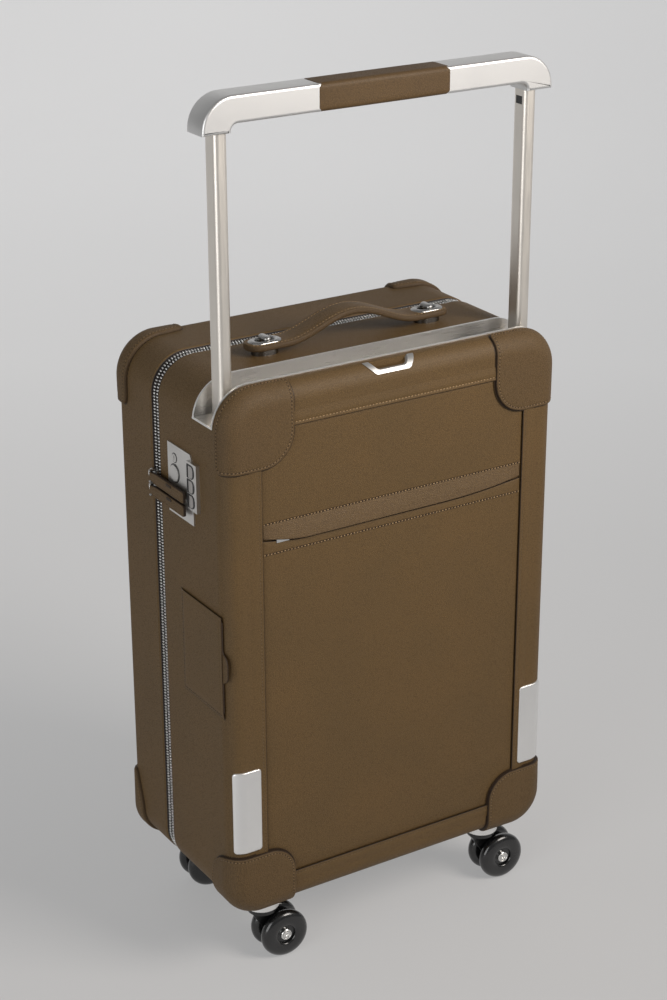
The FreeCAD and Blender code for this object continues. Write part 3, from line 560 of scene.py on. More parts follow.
def obround(u: float, v: float, length: float, width: float) -> Outline:
    """Corners of a slot with round ends."""
    radius = min(length, width) / 2 - 0.01
    return rectangle(u - length / 2, u + length / 2, v - width / 2, v + width / 2, radius)


def on_front(y: float) -> Place:
    """Places a pattern on a plane that faces the front."""
    return lambda u, v, h: np.stack([u, y - h, v], axis=-1)


def on_left(x: float) -> Place:
    """Places a pattern (depth, height) on a plane that faces left."""
    return lambda u, v, h: np.stack([x - h, u, v], axis=-1)


def laid(place: Place, ring: Array, height: float) -> Array:
    """A ring of a flat pattern, placed on its surface at one height."""
    return place(ring[:, 0], ring[:, 1], np.full(len(ring), height))


def level(ring: Array, z: float) -> Array:
    """(x, y) points set at one height."""
    return np.column_stack([ring, np.full(len(ring), z)])


def upright(ring: Array, y: float) -> Array:
    """(x, z) points set at one depth."""
    return np.stack([ring[:, 0], np.full(len(ring), y), ring[:, 1]], axis=1)


def mesh_piece(name: str, skin: Skin, sharp: float = 50.0, rim: Array | None = None) -> bpy.types.Object:
    """Makes a mesh object from points in millimetres.

    Args:
        name: The piece's name.
        skin: Its points, and its faces as point numbers.
        sharp: Edges that fold by more than this many degrees stay sharp.
        rim: For each point, 1 where it lies on a burnished edge.

    Returns:
        The object, at the origin, with faces that point outwards.
    """
    mesh = bpy.data.meshes.new(name)
    points, faces = skin
    mesh.from_pydata((points * MM).tolist(), [], [list(face) for face in faces])
    if rim is not None:
        layer = mesh.attributes.new("rim", "FLOAT", "POINT")
        layer.data.foreach_set("value", np.asarray(rim, np.float32))
    shape = bmesh.new()
    shape.from_mesh(mesh)
    bmesh.ops.remove_doubles(shape, verts=shape.verts, dist=1e-7)
    bmesh.ops.dissolve_degenerate(shape, edges=shape.edges, dist=1e-8)
    bmesh.ops.recalc_face_normals(shape, faces=shape.faces)
    shape.to_mesh(mesh)
    shape.free()
    mesh.polygons.foreach_set("use_smooth", [True] * len(mesh.polygons))
    mesh.set_sharp_from_angle(angle=math.radians(sharp))
    piece = bpy.data.objects.new(name, mesh)
    bpy.context.scene.collection.objects.link(piece)
    return piece


class Ends(Enum):
    """How a row of rings is closed."""

    CAPPED = "capped"
    LOOPED = "looped"


def loft(rings: Sequence[Array], ends: Ends = Ends.CAPPED) -> Skin:
    """Skins a row of closed rings that have equally many points.

    Args:
        rings: The rings, each (points, 3).
        ends: Whether the first and last ring are capped or joined to each other.

    Returns:
        Points and faces.
    """
    count = len(rings[0])
    points = list(rings)
    faces: list[Face] = []
    spans = len(rings) if ends is Ends.LOOPED else len(rings) - 1
    for i in range(spans):
        a, b = i * count, (i + 1) % len(rings) * count
        faces += [(a + k, a + (k + 1) % count, b + (k + 1) % count, b + k) for k in range(count)]
    if ends is Ends.CAPPED:
        for row, ring in ((0, rings[0]), (len(rings) - 1, rings[-1])):
            hub = len(rings) * count + int(row > 0)
            points.append(ring.mean(axis=0)[None, :])
            faces += [(row * count + k, row * count + (k + 1) % count, hub) for k in range(count)]
    return np.concatenate(points), faces


def spun(profile: Pairs, centre: Sequence[float], axis: Sequence[float],
         steps: int) -> Skin:
    """Turns a profile round an axis.

    Args:
        profile: (distance along the axis, radius) pairs; a radius of 0 closes an end.
        centre: The axis's zero point, in millimetres.
        axis: The axis's direction.
        steps: Steps round the axis.

    Returns:
        Points and faces.
    """
    way = Vector(axis).normalized()
    side = way.orthogonal().normalized()
    other = way.cross(side)
    angles = np.linspace(0.0, 2 * math.pi, steps, endpoint=False)
    spokes = np.outer(np.cos(angles), side) + np.outer(np.sin(angles), other)
    return loft([np.array(centre) + np.array(way) * along + spokes * max(radius, 1e-4)
                 for along, radius in profile])


def wire(path: Array, radius: float, steps: int = 10) -> Skin:
    """Round wire along a bent path.

    Args:
        path: Points of its middle line, in millimetres.
        radius: The wire's radius.
        steps: Steps round the wire.

    Returns:
        Points and faces.
    """
    ways = np.gradient(path, axis=0)
    ways /= np.linalg.norm(ways, axis=1)[:, None]
    angles = np.linspace(0.0, 2 * math.pi, steps, endpoint=False)
    rings = []
    for point, way in zip(path, ways):
        side = np.cross(way, (1.0, 0.0, 0.0))
        side /= np.linalg.norm(side)
        spokes = np.outer(np.cos(angles), side) + np.outer(np.sin(angles), np.cross(way, side))
        rings.append(point + radius * spokes)
    return loft(rings)


def joined(skins: Iterable[Skin]) -> Skin:
    """Several skins as one.

    Args:
        skins: Points and faces of each.

    Returns:
        Points and faces of all.
    """
    points: list[Array] = []
    faces: list[Face] = []
    for more, skin in skins:
        first = sum(len(p) for p in points)
        points.append(more)
        faces += [tuple(first + i for i in face) for face in skin]
    return np.concatenate(points), faces


@dataclass(frozen=True)
class Seam:
    """A line of stitches or teeth on the surface, and how far under it its groove lies, in millimetres."""

    points: Array
    ups: Array
    closed: bool
    middle_drop: float = 0.06
    side_drop: float = 0.12
    depth: float = 0.3

    def groove(self, width: float) -> Skin:
        """Skin of the pressed groove that the stitches lie in, also used for a thin dark strip of painted
        shadow.

        Args:
            width: The groove's width, in millimetres.

        Returns:
            Points and faces of a thin closed strip.
        """
        if self.closed:
            way = np.roll(self.points, -1, axis=0) - np.roll(self.points, 1, axis=0)
        else:
            way = np.gradient(self.points, axis=0)
        side = np.cross(way, self.ups)
        side *= (width / 2 / np.linalg.norm(side, axis=1))[:, None]
        up = self.ups / np.linalg.norm(self.ups, axis=1)[:, None]
        low = self.points - up * self.side_drop
        middle = self.points - up * self.middle_drop
        rails = np.stack([low - side, middle, low + side, low - up * self.depth], axis=1)
        return loft(list(rails), Ends.LOOPED if self.closed else Ends.CAPPED)


@dataclass
class LeatherPad:
    """A cut piece with rounded, burnished edges, laid on a surface by its flat pattern.

    EDGE_ROUND holds (inset, drop, paint) as shares of the edge's size, and SEAM_DIP (inset from the seam,
    share of the dip).
    """

    EDGE_ROUND = ((0.0, 1.0, 1.0), (0.14, 0.5, 0.8), (0.5, 0.14, 0.15), (1.0, 0.0, 0.0))
    SEAM_DIP = ((-0.8, 0.0), (-0.3, 1.0), (0.3, 1.0), (0.9, 0.0))
    INNERMOST = 0.03
    BASE_INSET = 0.3

    outline: Outline
    thickness: float
    place: Place
    seam_in: float = 3.0
    dip: float = 0.25
    edge: float = 0.9
    crown: float = 0.0
    sink: float = 0.3
    inner_rings: int = 12
    edge_steps: int = 10
    arc_steps: int = 10
    dark_edge: float = 1.0

    def _ring(self, inset: float) -> Array:
        """The pattern's outline at an inset."""
        return rounded_outline(self.outline, inset, self.arc_steps, self.edge_steps)

    def _profile(self) -> list[Point]:
        """The edge's section.

        Returns:
            (inset, height, edge paint) from the foot of the edge to the middle of the piece.
        """
        top, edge = self.thickness, self.edge
        rows = [(0.0, -self.sink, 1.0)]
        rows += [(edge * inset, top - edge * drop, paint) for inset, drop, paint in self.EDGE_ROUND]
        if self.dip:
            rows += [(self.seam_in + inset, top - self.dip * drop, 0.0) for inset, drop in self.SEAM_DIP]
        return rows

    def build(self, name: str) -> bpy.types.Object:
        """Makes the piece.

        Args:
            name: The piece's name.

        Returns:
            The object.
        """
        rows = self._profile()
        last = self._ring(rows[-1][0])
        centre = last.mean(axis=0)
        layers = [(self._ring(inset), height, paint) for inset, height, paint in rows]
        for share in np.linspace(1.0, self.INNERMOST, self.inner_rings)[1:]:
            height = rows[-1][1] + self.crown * (1 - share ** 2)
            layers.append((centre + (last - centre) * share, height, 0.0))
        base = self._ring(self.BASE_INSET)
        shares = np.linspace(self.INNERMOST, 1.0, max(self.inner_rings // 2, 3))
        layers = [(centre + (base - centre) * share, -self.sink, 0.0) for share in shares] + layers
        rings = [laid(self.place, ring, height) for ring, height, _ in layers]
        paint = np.repeat([p * self.dark_edge for _, _, p in layers], len(base))
        return mesh_piece(name, loft(rings), SOFT_FOLD, np.append(paint, np.zeros(2)))

    def _line(self, inset: float, height: float) -> Seam:
        """A closed line along the edge.

        Args:
            inset: How far inside the edge it runs.
            height: Its height over the surface.

        Returns:
            The line.
        """
        ring = rounded_outline(self.outline, inset, self.arc_steps, self.edge_steps * 2)
        points = laid(self.place, ring, height)
        return Seam(points, laid(self.place, ring, height + 1.0) - points, True)

    def foot(self, out: float = 0.6, rise: float = 0.1) -> Seam:
        """The line just outside the piece's edge and above the surface, where a dark strip paints the shade
        at the piece's foot.
        """
        return self._line(-out, rise)

    def seam(self, rise: float) -> Seam:
        """The line of stitches inside the edge, whose thread stands above the bottom of its groove."""
        return self._line(self.seam_in, self.thickness - self.dip + rise)


def straight_seam(start: Sequence[float], end: Sequence[float], up: Sequence[float]) -> Seam:
    """A straight line of stitches.

    Args:
        start: Where it starts, in millimetres.
        end: Where it ends.
        up: The way out of the surface.

    Returns:
        The line.
    """
    share = np.linspace(0.0, 1.0, 24)[:, None]
    points = np.array(start) * (1 - share) + np.array(end) * share
    return Seam(points, np.tile(np.array(up, float), (len(points), 1)), False)


# Rows of small things, made by Geometry Nodes

class RowShape(Enum):
    """What repeats along a row."""

    STITCH = "stitch"
    TOOTH = "tooth"


@dataclass(frozen=True)
class RowSpec:
    """Sizes of a row, in millimetres and degrees."""

    shape: RowShape
    pitch: float
    length: float
    width: float
    height: float
    slant: float = 0.0
    jitter: float = 0.0
    seed: int = 7


class RowTree(NodeSketch):
    """Node tree that sets small solids along paths, with a named input for each size."""

    INPUTS = (("Pitch", "NodeSocketFloat"), ("Size", "NodeSocketVector"), ("Slant", "NodeSocketFloat"),
              ("Jitter", "NodeSocketFloat"), ("Seed", "NodeSocketInt"), ("Finish", "NodeSocketMaterial"))

    def __init__(self, shape: RowShape) -> None:
        """Builds the tree.

        Args:
            shape: What repeats along the row.
        """
        super().__init__(bpy.data.node_groups.new(f"{shape.value}_row", "GeometryNodeTree"))
        face = self.tree.interface
        face.new_socket("Path", in_out="INPUT", socket_type="NodeSocketGeometry")
        self.sockets = {name: face.new_socket(name, in_out="INPUT", socket_type=kind).identifier
                        for name, kind in self.INPUTS}
        face.new_socket("Row", in_out="OUTPUT", socket_type="NodeSocketGeometry")
        self._wire(shape)

    def _solid(self, shape: RowShape) -> bpy.types.NodeSocket:
        """The solid that repeats, about one unit long each way.

        Args:
            shape: What repeats along the row.

        Returns:
            Its mesh.
        """
        if shape is RowShape.STITCH:
            inputs = {"Segments": 6, "Rings": 5, "Radius": 0.5}
            return self.add("GeometryNodeMeshUVSphere", inputs).outputs["Mesh"]
        inputs = {"Segments": 8, "Rings": 6, "Radius": 0.55}
        bead = self.add("GeometryNodeMeshUVSphere", inputs).outputs["Mesh"]
        turned = self.add("GeometryNodeTransform", {"Geometry": bead, "Rotation": (math.pi / 2, 0.0, 0.0)})
        return turned.outputs["Geometry"]

    def _wire(self, shape: RowShape) -> None:
        """Links the nodes from the path to the row.

        Args:
            shape: What repeats along the row.
        """
        given = self.add("NodeGroupInput").outputs
        curve = self.add("GeometryNodeMeshToCurve", {"Mesh": given["Path"]}).outputs["Curve"]
        spaced = self.add("GeometryNodeResampleCurve", {"Curve": curve, "Length": given["Pitch"]},
                          mode="LENGTH")
        tangent = self.add("GeometryNodeInputTangent").outputs["Tangent"]
        up = self.add("GeometryNodeInputNamedAttribute", {"Name": "up"}, data_type="FLOAT_VECTOR")
        along = self.add("FunctionNodeAlignRotationToVector", {"Vector": tangent}, axis="X")
        raised = self.add("FunctionNodeAlignRotationToVector",
                          {"Rotation": along.outputs[0], "Vector": up.outputs["Attribute"]},
                          axis="Z", pivot_axis="X")
        low = self.calc("SUBTRACT", given["Slant"], given["Jitter"])
        high = self.calc("ADD", given["Slant"], given["Jitter"])
        chance = self.add("FunctionNodeRandomValue", data_type="FLOAT")
        for socket, value in (("Min", low), ("Max", high), ("Seed", given["Seed"])):
            self.feed(next(s for s in chance.inputs if s.name == socket and s.enabled), value)
        angle = next(s for s in chance.outputs if s.enabled)
        twist = self.add("FunctionNodeAxisAngleToRotation", {"Axis": (0.0, 0.0, 1.0), "Angle": angle})
        slanted = self.add("FunctionNodeRotateRotation",
                           {"Rotation": raised.outputs[0], "Rotate By": twist.outputs[0]},
                           rotation_space="LOCAL")
        placed = self.add("GeometryNodeInstanceOnPoints",
                          {"Points": spaced.outputs["Curve"], "Instance": self._solid(shape),
                           "Rotation": slanted.outputs[0], "Scale": given["Size"]})
        real = self.add("GeometryNodeRealizeInstances", {"Geometry": placed.outputs["Instances"]})
        smooth = self.add("GeometryNodeSetShadeSmooth", {"Geometry": real.outputs["Geometry"]})
        dressed = self.add("GeometryNodeSetMaterial",
                           {"Geometry": smooth.outputs["Geometry"], "Material": given["Finish"]})
        self.add("NodeGroupOutput", {"Row": dressed.outputs["Geometry"]})


class RowMaker:
    """Makes rows of stitches or teeth as plain meshes."""

    def __init__(self) -> None:
        """Builds a tree for each shape."""
        self._trees = {shape: RowTree(shape) for shape in RowShape}

    def make(self, name: str, seams: Sequence[Seam], spec: RowSpec, finish: Finish) -> bpy.types.Object:
        """Makes one piece from several seams.

        Args:
            name: The piece's name.
            seams: The lines it follows.
            spec: Its sizes.
            finish: Its finish.

        Returns:
            The object, a plain mesh at the origin.
        """
        points, ups, edges = [], [], []
        for seam in seams:
            first, count = len(points), len(seam.points)
            points += (seam.points * MM).tolist()
            ups += seam.ups.tolist()
            edges += [(first + k, first + k + 1) for k in range(count - 1)]
            if seam.closed:
                edges.append((first + count - 1, first))
        mesh = bpy.data.meshes.new(name + "_path")
        mesh.from_pydata(points, edges, [])
        layer = mesh.attributes.new("up", "FLOAT_VECTOR", "POINT")
        layer.data.foreach_set("vector", np.array(ups, np.float32).ravel())
        carrier = bpy.data.objects.new(name + "_path", mesh)
        row = self._trees[spec.shape]
        modifier = carrier.modifiers.new("row", "NODES")
        modifier.node_group = row.tree
        values = {"Pitch": spec.pitch * MM, "Size": [spec.length * MM, spec.width * MM, spec.height * MM],
                  "Slant": math.radians(spec.slant), "Jitter": math.radians(spec.jitter), "Seed": spec.seed,
                  "Finish": SHELF.get(finish)}
        for key, value in values.items():
            modifier[row.sockets[key]] = value
        bpy.context.scene.collection.objects.link(carrier)
        depsgraph = bpy.context.evaluated_depsgraph_get()
        made = bpy.data.meshes.new_from_object(carrier.evaluated_get(depsgraph))
        piece = bpy.data.objects.new(name, made)
        bpy.context.scene.collection.objects.link(piece)
        carrier.modifiers.clear()
        bpy.data.objects.remove(carrier)
        return piece


STITCH = RowSpec(RowShape.STITCH, 3.2, 2.1, 0.95, 0.7, slant=8.0, jitter=3.0)
TOOTH = RowSpec(RowShape.TOOTH, 2.8, 1.45, 2.9, 2.0)
TOOTH_HEAD = RowSpec(RowShape.TOOTH, 2.8, 1.2, 2.1, 1.2)


# Sub-assemblies

class Side(Enum):
    """The two sides of the case, seen from the front."""

    LEFT = -1
    RIGHT = 1

    @property
    def label(self) -> str:
        """The side's name in pieces and nodes."""
        return self.name.lower()


class End(Enum):
    """The two faces of the case."""

    FRONT = -1
    REAR = 1


@dataclass
class SubAssembly:
    """Shared ways of a sub-assembly to hand its pieces to the frame."""

    rows: RowMaker

    def dress(self, finish: Finish, *nodes: str) -> None:
        """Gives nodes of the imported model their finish.

        Args:
            finish: The finish.
            *nodes: The nodes' names.
        """
        for node in nodes:
            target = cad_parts[node]
            target.data.materials.clear()
            target.data.materials.append(SHELF.get(finish))
            LOG.info("dressed %s", node)

    def settle(self, piece: bpy.types.Object, body: str, slot: str, finish: Finish | None = None,
               *replaced: str) -> None:
        """Hands a new piece to the frame.

        Args:
            piece: The piece.
            body: The body it rides on.
            slot: Not used.
            finish: Its finish, or None if it has one already.
            *replaced: Nodes it stands for.
        """
        if finish is not None:
            piece.data.materials.clear()
            piece.data.materials.append(SHELF.get(finish))
        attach(piece, body)
        if replaced:
            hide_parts(*replaced)
        LOG.info("made %s on %s", piece.name, body)

    def sew(self, name: str, seams: Sequence[Seam], body: str, width: float = 1.5,
            thread: Thread = THREAD) -> None:
        """Makes rows of stitches in their grooves.

        Args:
            name: The name of both pieces.
            seams: The lines they follow.
            body: The body they ride on.
            width: The groove's width, in millimetres.
            thread: The finish of its stitches.
        """
        self.crease(f"{name}_groove", seams, body, width)
        self.settle(self.rows.make(name, seams, STITCH, thread), body, "leather_trim")

    def crease(self, name: str, seams: Sequence[Seam], body: str, width: float) -> None:
        """Makes dark strips in the leather: pressed grooves and lines, and painted shadow lines round pieces.

        Args:
            name: The piece's name.
            seams: The lines they follow.
            body: The body they ride on.
            width: Their width, in millimetres.
        """
        groove = mesh_piece(name, joined(seam.groove(width) for seam in seams), SOFT_FOLD)
        self.settle(groove, body, "leather_trim", GROOVE_AND_SHADE)


@dataclass(frozen=True)
class CaseForm:
    """The outer shape that everything on the case is laid on, in millimetres."""

    half_width: float = 165.0
    bottom: float = 67.0
    top: float = 550.0
    half_depth: float = 92.0
    corner: float = 34.0
    low_corner: float = 30.0
    front_roll: float = 15.0
    rear_roll: float = 8.0
    zip_y: float = 24.5
    zip_half: float = 6.5
    zip_end_x: float = 148.0
    hinge_lap: float = 3.0

    def corner_size(self, high: bool) -> float:
        """Radius of a corner seen from the front."""
        return self.corner if high else self.low_corner

    def roll(self, end: End) -> float:
        """Radius of the edge round a face."""
        return self.front_roll if end is End.FRONT else self.rear_roll

    def reach(self, end: End, high: bool, depth: float) -> float:
        """Length over the surface, from a corner's centre, to a depth behind the face.

        Args:
            end: Front or rear face.
            high: Whether it is a top corner.
            depth: Distance behind that face, in millimetres.

        Returns:
            The pattern's coordinate.
        """
        roll = self.roll(end)
        flat = self.corner_size(high) - roll
        if depth >= roll:
            return flat + roll * math.pi / 2 + depth - roll
        return flat + roll * math.acos(1 - depth / roll)

    def round_corner(self, side: Side, high: bool, end: End) -> Place:
        """Wraps a flat pattern round one corner of the case.

        Args:
            side: Left or right.
            high: Whether it is a top corner.
            end: Front or rear face.

        Returns:
            Function from pattern (outwards, up or down outwards, height) to points.
        """
        roll, corner = self.roll(end), self.corner_size(high)
        flat = corner - roll
        mid_x = self.half_width - corner
        mid_z = self.top - corner if high else self.bottom + corner
        up = 1.0 if high else -1.0

        def place(u: Array, v: Array, h: Array) -> Array:
            """Pattern to points.

            Args:
                u: Distance outwards across the case.
                v: Distance outwards up or down.
                h: Height over the surface.

            Returns:
                The points.
            """
            out_u, out_v = np.maximum(u, 0.0), np.maximum(v, 0.0)
            far = np.hypot(out_u, out_v)
            safe = np.maximum(far, 1e-9)
            way_u, way_v = out_u / safe, out_v / safe
            bend = np.clip((far - flat) / roll, 0.0, math.pi / 2)
            past = np.maximum(far - flat - roll * math.pi / 2, 0.0)
            out = np.minimum(far, flat) + roll * np.sin(bend) + h * np.sin(bend)
            depth = roll * (1 - np.cos(bend)) + past - h * np.cos(bend)
            across = np.minimum(u, 0.0) + way_u * out + mid_x
            rise = np.minimum(v, 0.0) + way_v * out
            return np.stack([side.value * across, end.value * (self.half_depth - depth),
                             mid_z + up * rise], axis=-1)

        return place

    def loop(self, inset: float = 0.0, arc_steps: int = 16, edge_steps: int = 60) -> Array:
        """The outline from the front, moved inwards.

        Args:
            inset: How far inside the outline the points run.
            arc_steps: Steps round each corner.
            edge_steps: Steps along each straight.

        Returns:
            Closed ring of (x, z) points.
        """
        wide, low = self.half_width, self.low_corner
        corners = [(-wide, self.bottom, low), (wide, self.bottom, low), (wide, self.top, self.corner),
                   (-wide, self.top, self.corner)]
        return rounded_outline(corners, inset, arc_steps, edge_steps)

    def over_top(self, grow: float, from_z: float, arc_steps: int = 20, flat_steps: int = 24) -> Array:
        """The outline over the top, from the left side to the right.

        Args:
            grow: How far outside the outline the points run.
            from_z: Height at which they start and end, above the corners' middles.
            arc_steps: Points round each corner.
            flat_steps: Points along the flat top.

        Returns:
            (x, z) points.
        """
        mid_x, mid_z = self.half_width - self.corner, self.top - self.corner
        turns = np.linspace(math.asin((from_z - mid_z) / self.corner), math.pi / 2, arc_steps)
        size = self.corner + grow
        arc = np.stack([mid_x + size * np.cos(turns), mid_z + size * np.sin(turns)], axis=1)
        flat = np.linspace(-mid_x, mid_x, flat_steps)[1:-1]
        top = np.stack([flat, np.full(len(flat), self.top + grow)], axis=1)
        return np.concatenate([arc * (-1.0, 1.0), top, arc[::-1]])

    def _stretch(self, inset: float, wanted: Array) -> Array:
        """The stretch of the outline that is wanted, in one run.

        Args:
            inset: How far inside the outline it runs.
            wanted: For each point of the outline, whether it belongs to the stretch.

        Returns:
            (x, z) points, as many for any inset.
        """
        first = int(np.argmax(wanted & ~np.roll(wanted, 1)))
        return np.roll(self.loop(inset), -first, axis=0)[np.roll(wanted, -first)]

    def zip_run(self, inset: float) -> Array:
        """The zip's run as (x, z) points, from the right end of the top to the right end of the bottom."""
        return self._stretch(inset, self.loop()[:, 0] < self.zip_end_x)

    def hinge_run(self, inset: float) -> Array:
        """The gusset's run as (x, z) points, up the right side from the bottom to the top."""
        return self._stretch(inset, self.loop()[:, 0] >= self.zip_end_x - self.hinge_lap)


FORM = CaseForm()


@dataclass
class LeatherCase(SubAssembly):
    """The leather-covered halves of the case and the panels on its front.

    The band's rows are (distance outside the seam, height, edge paint), and the slot's bends (x, radius); the
    edge paint darkens the band's inner wall, partly as painted shade of the gap along the seam.
    """

    seam_x: float = 130.4
    seam_gap: float = 0.5
    panel_bottom: float = 98.0
    panel_top: float = 514.0
    panel_back: float = -89.0
    panel_thickness: float = 2.0
    band_radius: float = 2.0
    band_rows: Outline = (
        (0.0, -0.95, 1.0), (0.0, 0.1, 1.0), (0.12, 0.45, 1.0), (0.5, 0.72, 0.5), (1.0, 0.8, 0.0),
        (2.2, 0.8, 0.0), (2.7, 0.5, 0.0), (3.3, 0.5, 0.0), (3.9, 0.8, 0.0), (7.0, 0.6, 0.0),
        (10.0, 0.25, 0.0), (13.5, -0.15, 0.0), (13.5, -0.4, 0.0), (1.0, -0.95, 0.0))
    tape_box: tuple[float, float, float, float] = (-120.0, 120.0, 415.0, 426.3)
    tape_y: float = -87.9
    tape_thickness: float = 0.8
    slot_end: float = 420.0
    slot_middle: float = 414.6
    slot_gap: float = 1.7
    slot_bends: Pairs = ((78.0, 600.0), (-96.0, 150.0))
    flap_lap: float = 0.6
    flap_puff: float = 3.6
    flap_edge: float = 1.2
    flap_ease: float = 34.0
    flatter_from: float = -60.0
    flatter_over: float = 190.0
    flatter_by: float = 0.35
    flap_stitch: float = 433.0
    pocket_stitch: float = 406.0
    stitch_lift: float = 0.15
    stitch_inset: float = 2.0
    band_lift: float = 0.52
    band_stitch: float = 3.0
    side_run: Pair = (122.0, 486.0)
    low_run: float = 106.0
    high_run: float = 104.0

    def build(self) -> None:
        """Builds and dresses the case."""
        self.dress(CASE_LEATHER, "main_shell", "lid_shell")
        self.dress(BRIGHT, "pocket_slider")
        self._frame_band()
        self._tape()
        self._pocket()
        self._flap()
        self._stitch()

    @property
    def half(self) -> float:
        """Half the width of the panels."""
        return self.seam_x - self.seam_gap

    def _frame_band(self) -> None:
        """Leather band round the panels, with a turned and stitched inner edge whose wall is painted dark,
        partly as painted shade in the gap by the panels.
        """
        corners = rectangle(-self.seam_x, self.seam_x, self.panel_bottom, self.panel_top, self.band_radius)
        place = on_front(-FORM.half_depth)
        rings = [laid(place, rounded_outline(corners, -out, 6, 40), height)
                 for out, height, _ in self.band_rows]
        # Edge paint on the inner wall and rounded edge, which also stands in for the shade in the gap along
        # the seam.
        paint = np.repeat([edge for _, _, edge in self.band_rows], len(rings[0]))
        band = mesh_piece("front_band", loft(rings, Ends.LOOPED), rim=paint)
        self.settle(band, "case", "leather_case", CASE_LEATHER)

    def _tape(self) -> None:
        """Woven tape behind the pocket's slot."""
        thick = self.tape_thickness
        pad = LeatherPad(rectangle(*self.tape_box, thick), thick, on_front(self.tape_y), dip=0.0, edge=0.3,
                         sink=0.0, edge_steps=30, inner_rings=6, arc_steps=3, dark_edge=0.0)
        self.settle(pad.build("pocket_tape"), "case", "lining_cloth", TAPE, "pocket_zip_tape")

    def _slot(self, drop: float) -> list[Point]:
        """The slot's bowed line.

        Args:
            drop: How far it is moved down.

        Returns:
            Its corners from right to left.
        """
        high, low = self.slot_end - drop, self.slot_middle - drop
        bends = [(x, low, radius) for x, radius in self.slot_bends]
        return [(self.half, high, 0.3), *bends, (-self.half, high, 0.3)]

    def _pocket(self) -> None:
        """Lower panel, the outside of the slit pocket."""
        low = self.panel_bottom + self.seam_gap
        outline = [(-self.half, low, 0.5), (self.half, low, 0.5), *self._slot(self.slot_gap)]
        pad = LeatherPad(outline, self.panel_thickness, on_front(self.panel_back), dip=0.0, edge=0.6,
                         crown=0.5, inner_rings=16, edge_steps=26)
        self.settle(pad.build("pocket_leather"), "case", "leather_case", CASE_LEATHER, "pocket_panel")

    def _flap(self) -> None:
        """Upper panel, and the lip below its seam that stands out over the pocket's slot."""
        half, seam, high = self.half, self.flap_stitch, self.panel_top - self.seam_gap
        panel = LeatherPad(rectangle(-half, half, seam - self.flap_lap, high, 0.4), self.panel_thickness,
                           on_front(self.panel_back), dip=0.0, edge=0.4, inner_rings=16, edge_steps=26)
        self.settle(panel.build("upper_leather"), "case", "leather_case", CASE_LEATHER, "upper_panel")
        span = seam - self.slot_middle

        def place(u: Array, v: Array, h: Array) -> Array:
            """Front plane that comes forward towards the slot, less so on the right.

            Args:
                u: Place across the case.
                v: Height on the front.
                h: Height over the plane.

            Returns:
                The points.
            """
            down = np.clip((seam - v) / span, 0.0, 1.0)
            side = np.clip((half - np.abs(u)) / self.flap_ease, 0.0, 1.0)
            fuller = 1.0 - self.flatter_by * np.clip((u - self.flatter_from) / self.flatter_over, 0.0, 1.0)
            outer = np.clip(h / self.flap_edge, 0.0, 1.0)
            lift = self.flap_puff * np.sin(down * math.pi / 2) * side * (2 - side) * fuller * outer
            return np.stack([u, self.panel_back - h - lift, v], axis=-1)

        outline = [(half, seam, 0.3), (-half, seam, 0.3), *reversed(self._slot(0.0))]
        lip = LeatherPad(outline, self.panel_thickness, place, dip=0.0, edge=self.flap_edge, inner_rings=26,
                         edge_steps=40)
        # The lip's lighter leather is partly painted light.
        self.settle(lip.build("lip_leather"), "case", "leather_case", LIT_LIP_LEATHER)

    def _stitch(self) -> None:
        """Stitches of the band and of the pocket."""
        band_y = -FORM.half_depth - self.band_lift
        face_y = self.panel_back - self.panel_thickness - self.stitch_lift
        side_x, ahead = self.seam_x + self.band_stitch, (0.0, -1.0, 0.0)

        def across(half: float, y: float, z: float) -> Seam:
            """A level line of stitches on the front."""
            return straight_seam((-half, y, z), (half, y, z), ahead)

        low, high = self.side_run
        sides = [straight_seam((x, band_y, low), (x, band_y, high), ahead) for x in (-side_x, side_x)]
        foot = across(self.low_run, band_y, self.panel_bottom - self.band_stitch)
        self.sew("band_stitches", [*sides, foot], "case", thread=TONAL_THREAD)
        inner = self.seam_x - self.stitch_inset
        seams = [across(self.high_run, band_y, self.panel_top + self.band_stitch),
                 across(inner, face_y - self.stitch_lift, self.flap_stitch),
                 across(inner, face_y - 2 * self.stitch_lift, self.pocket_stitch)]
        self.sew("flap_stitches", seams, "case", 1.6, PALE_THREAD)


@dataclass(frozen=True)
class FrontPatch:
    """Pattern of a front corner, in millimetres."""

    thickness: float
    inner_x: float
    edge_z: float
    depth: float
    inner_radius: float
    side_radius: float
    end_radius: float


@dataclass(frozen=True)
class RearPatch:
    """Pattern of a rear corner: height, how far its tips stay back, and the share where its side bends."""

    height: float
    tip: float
    bend_share: float


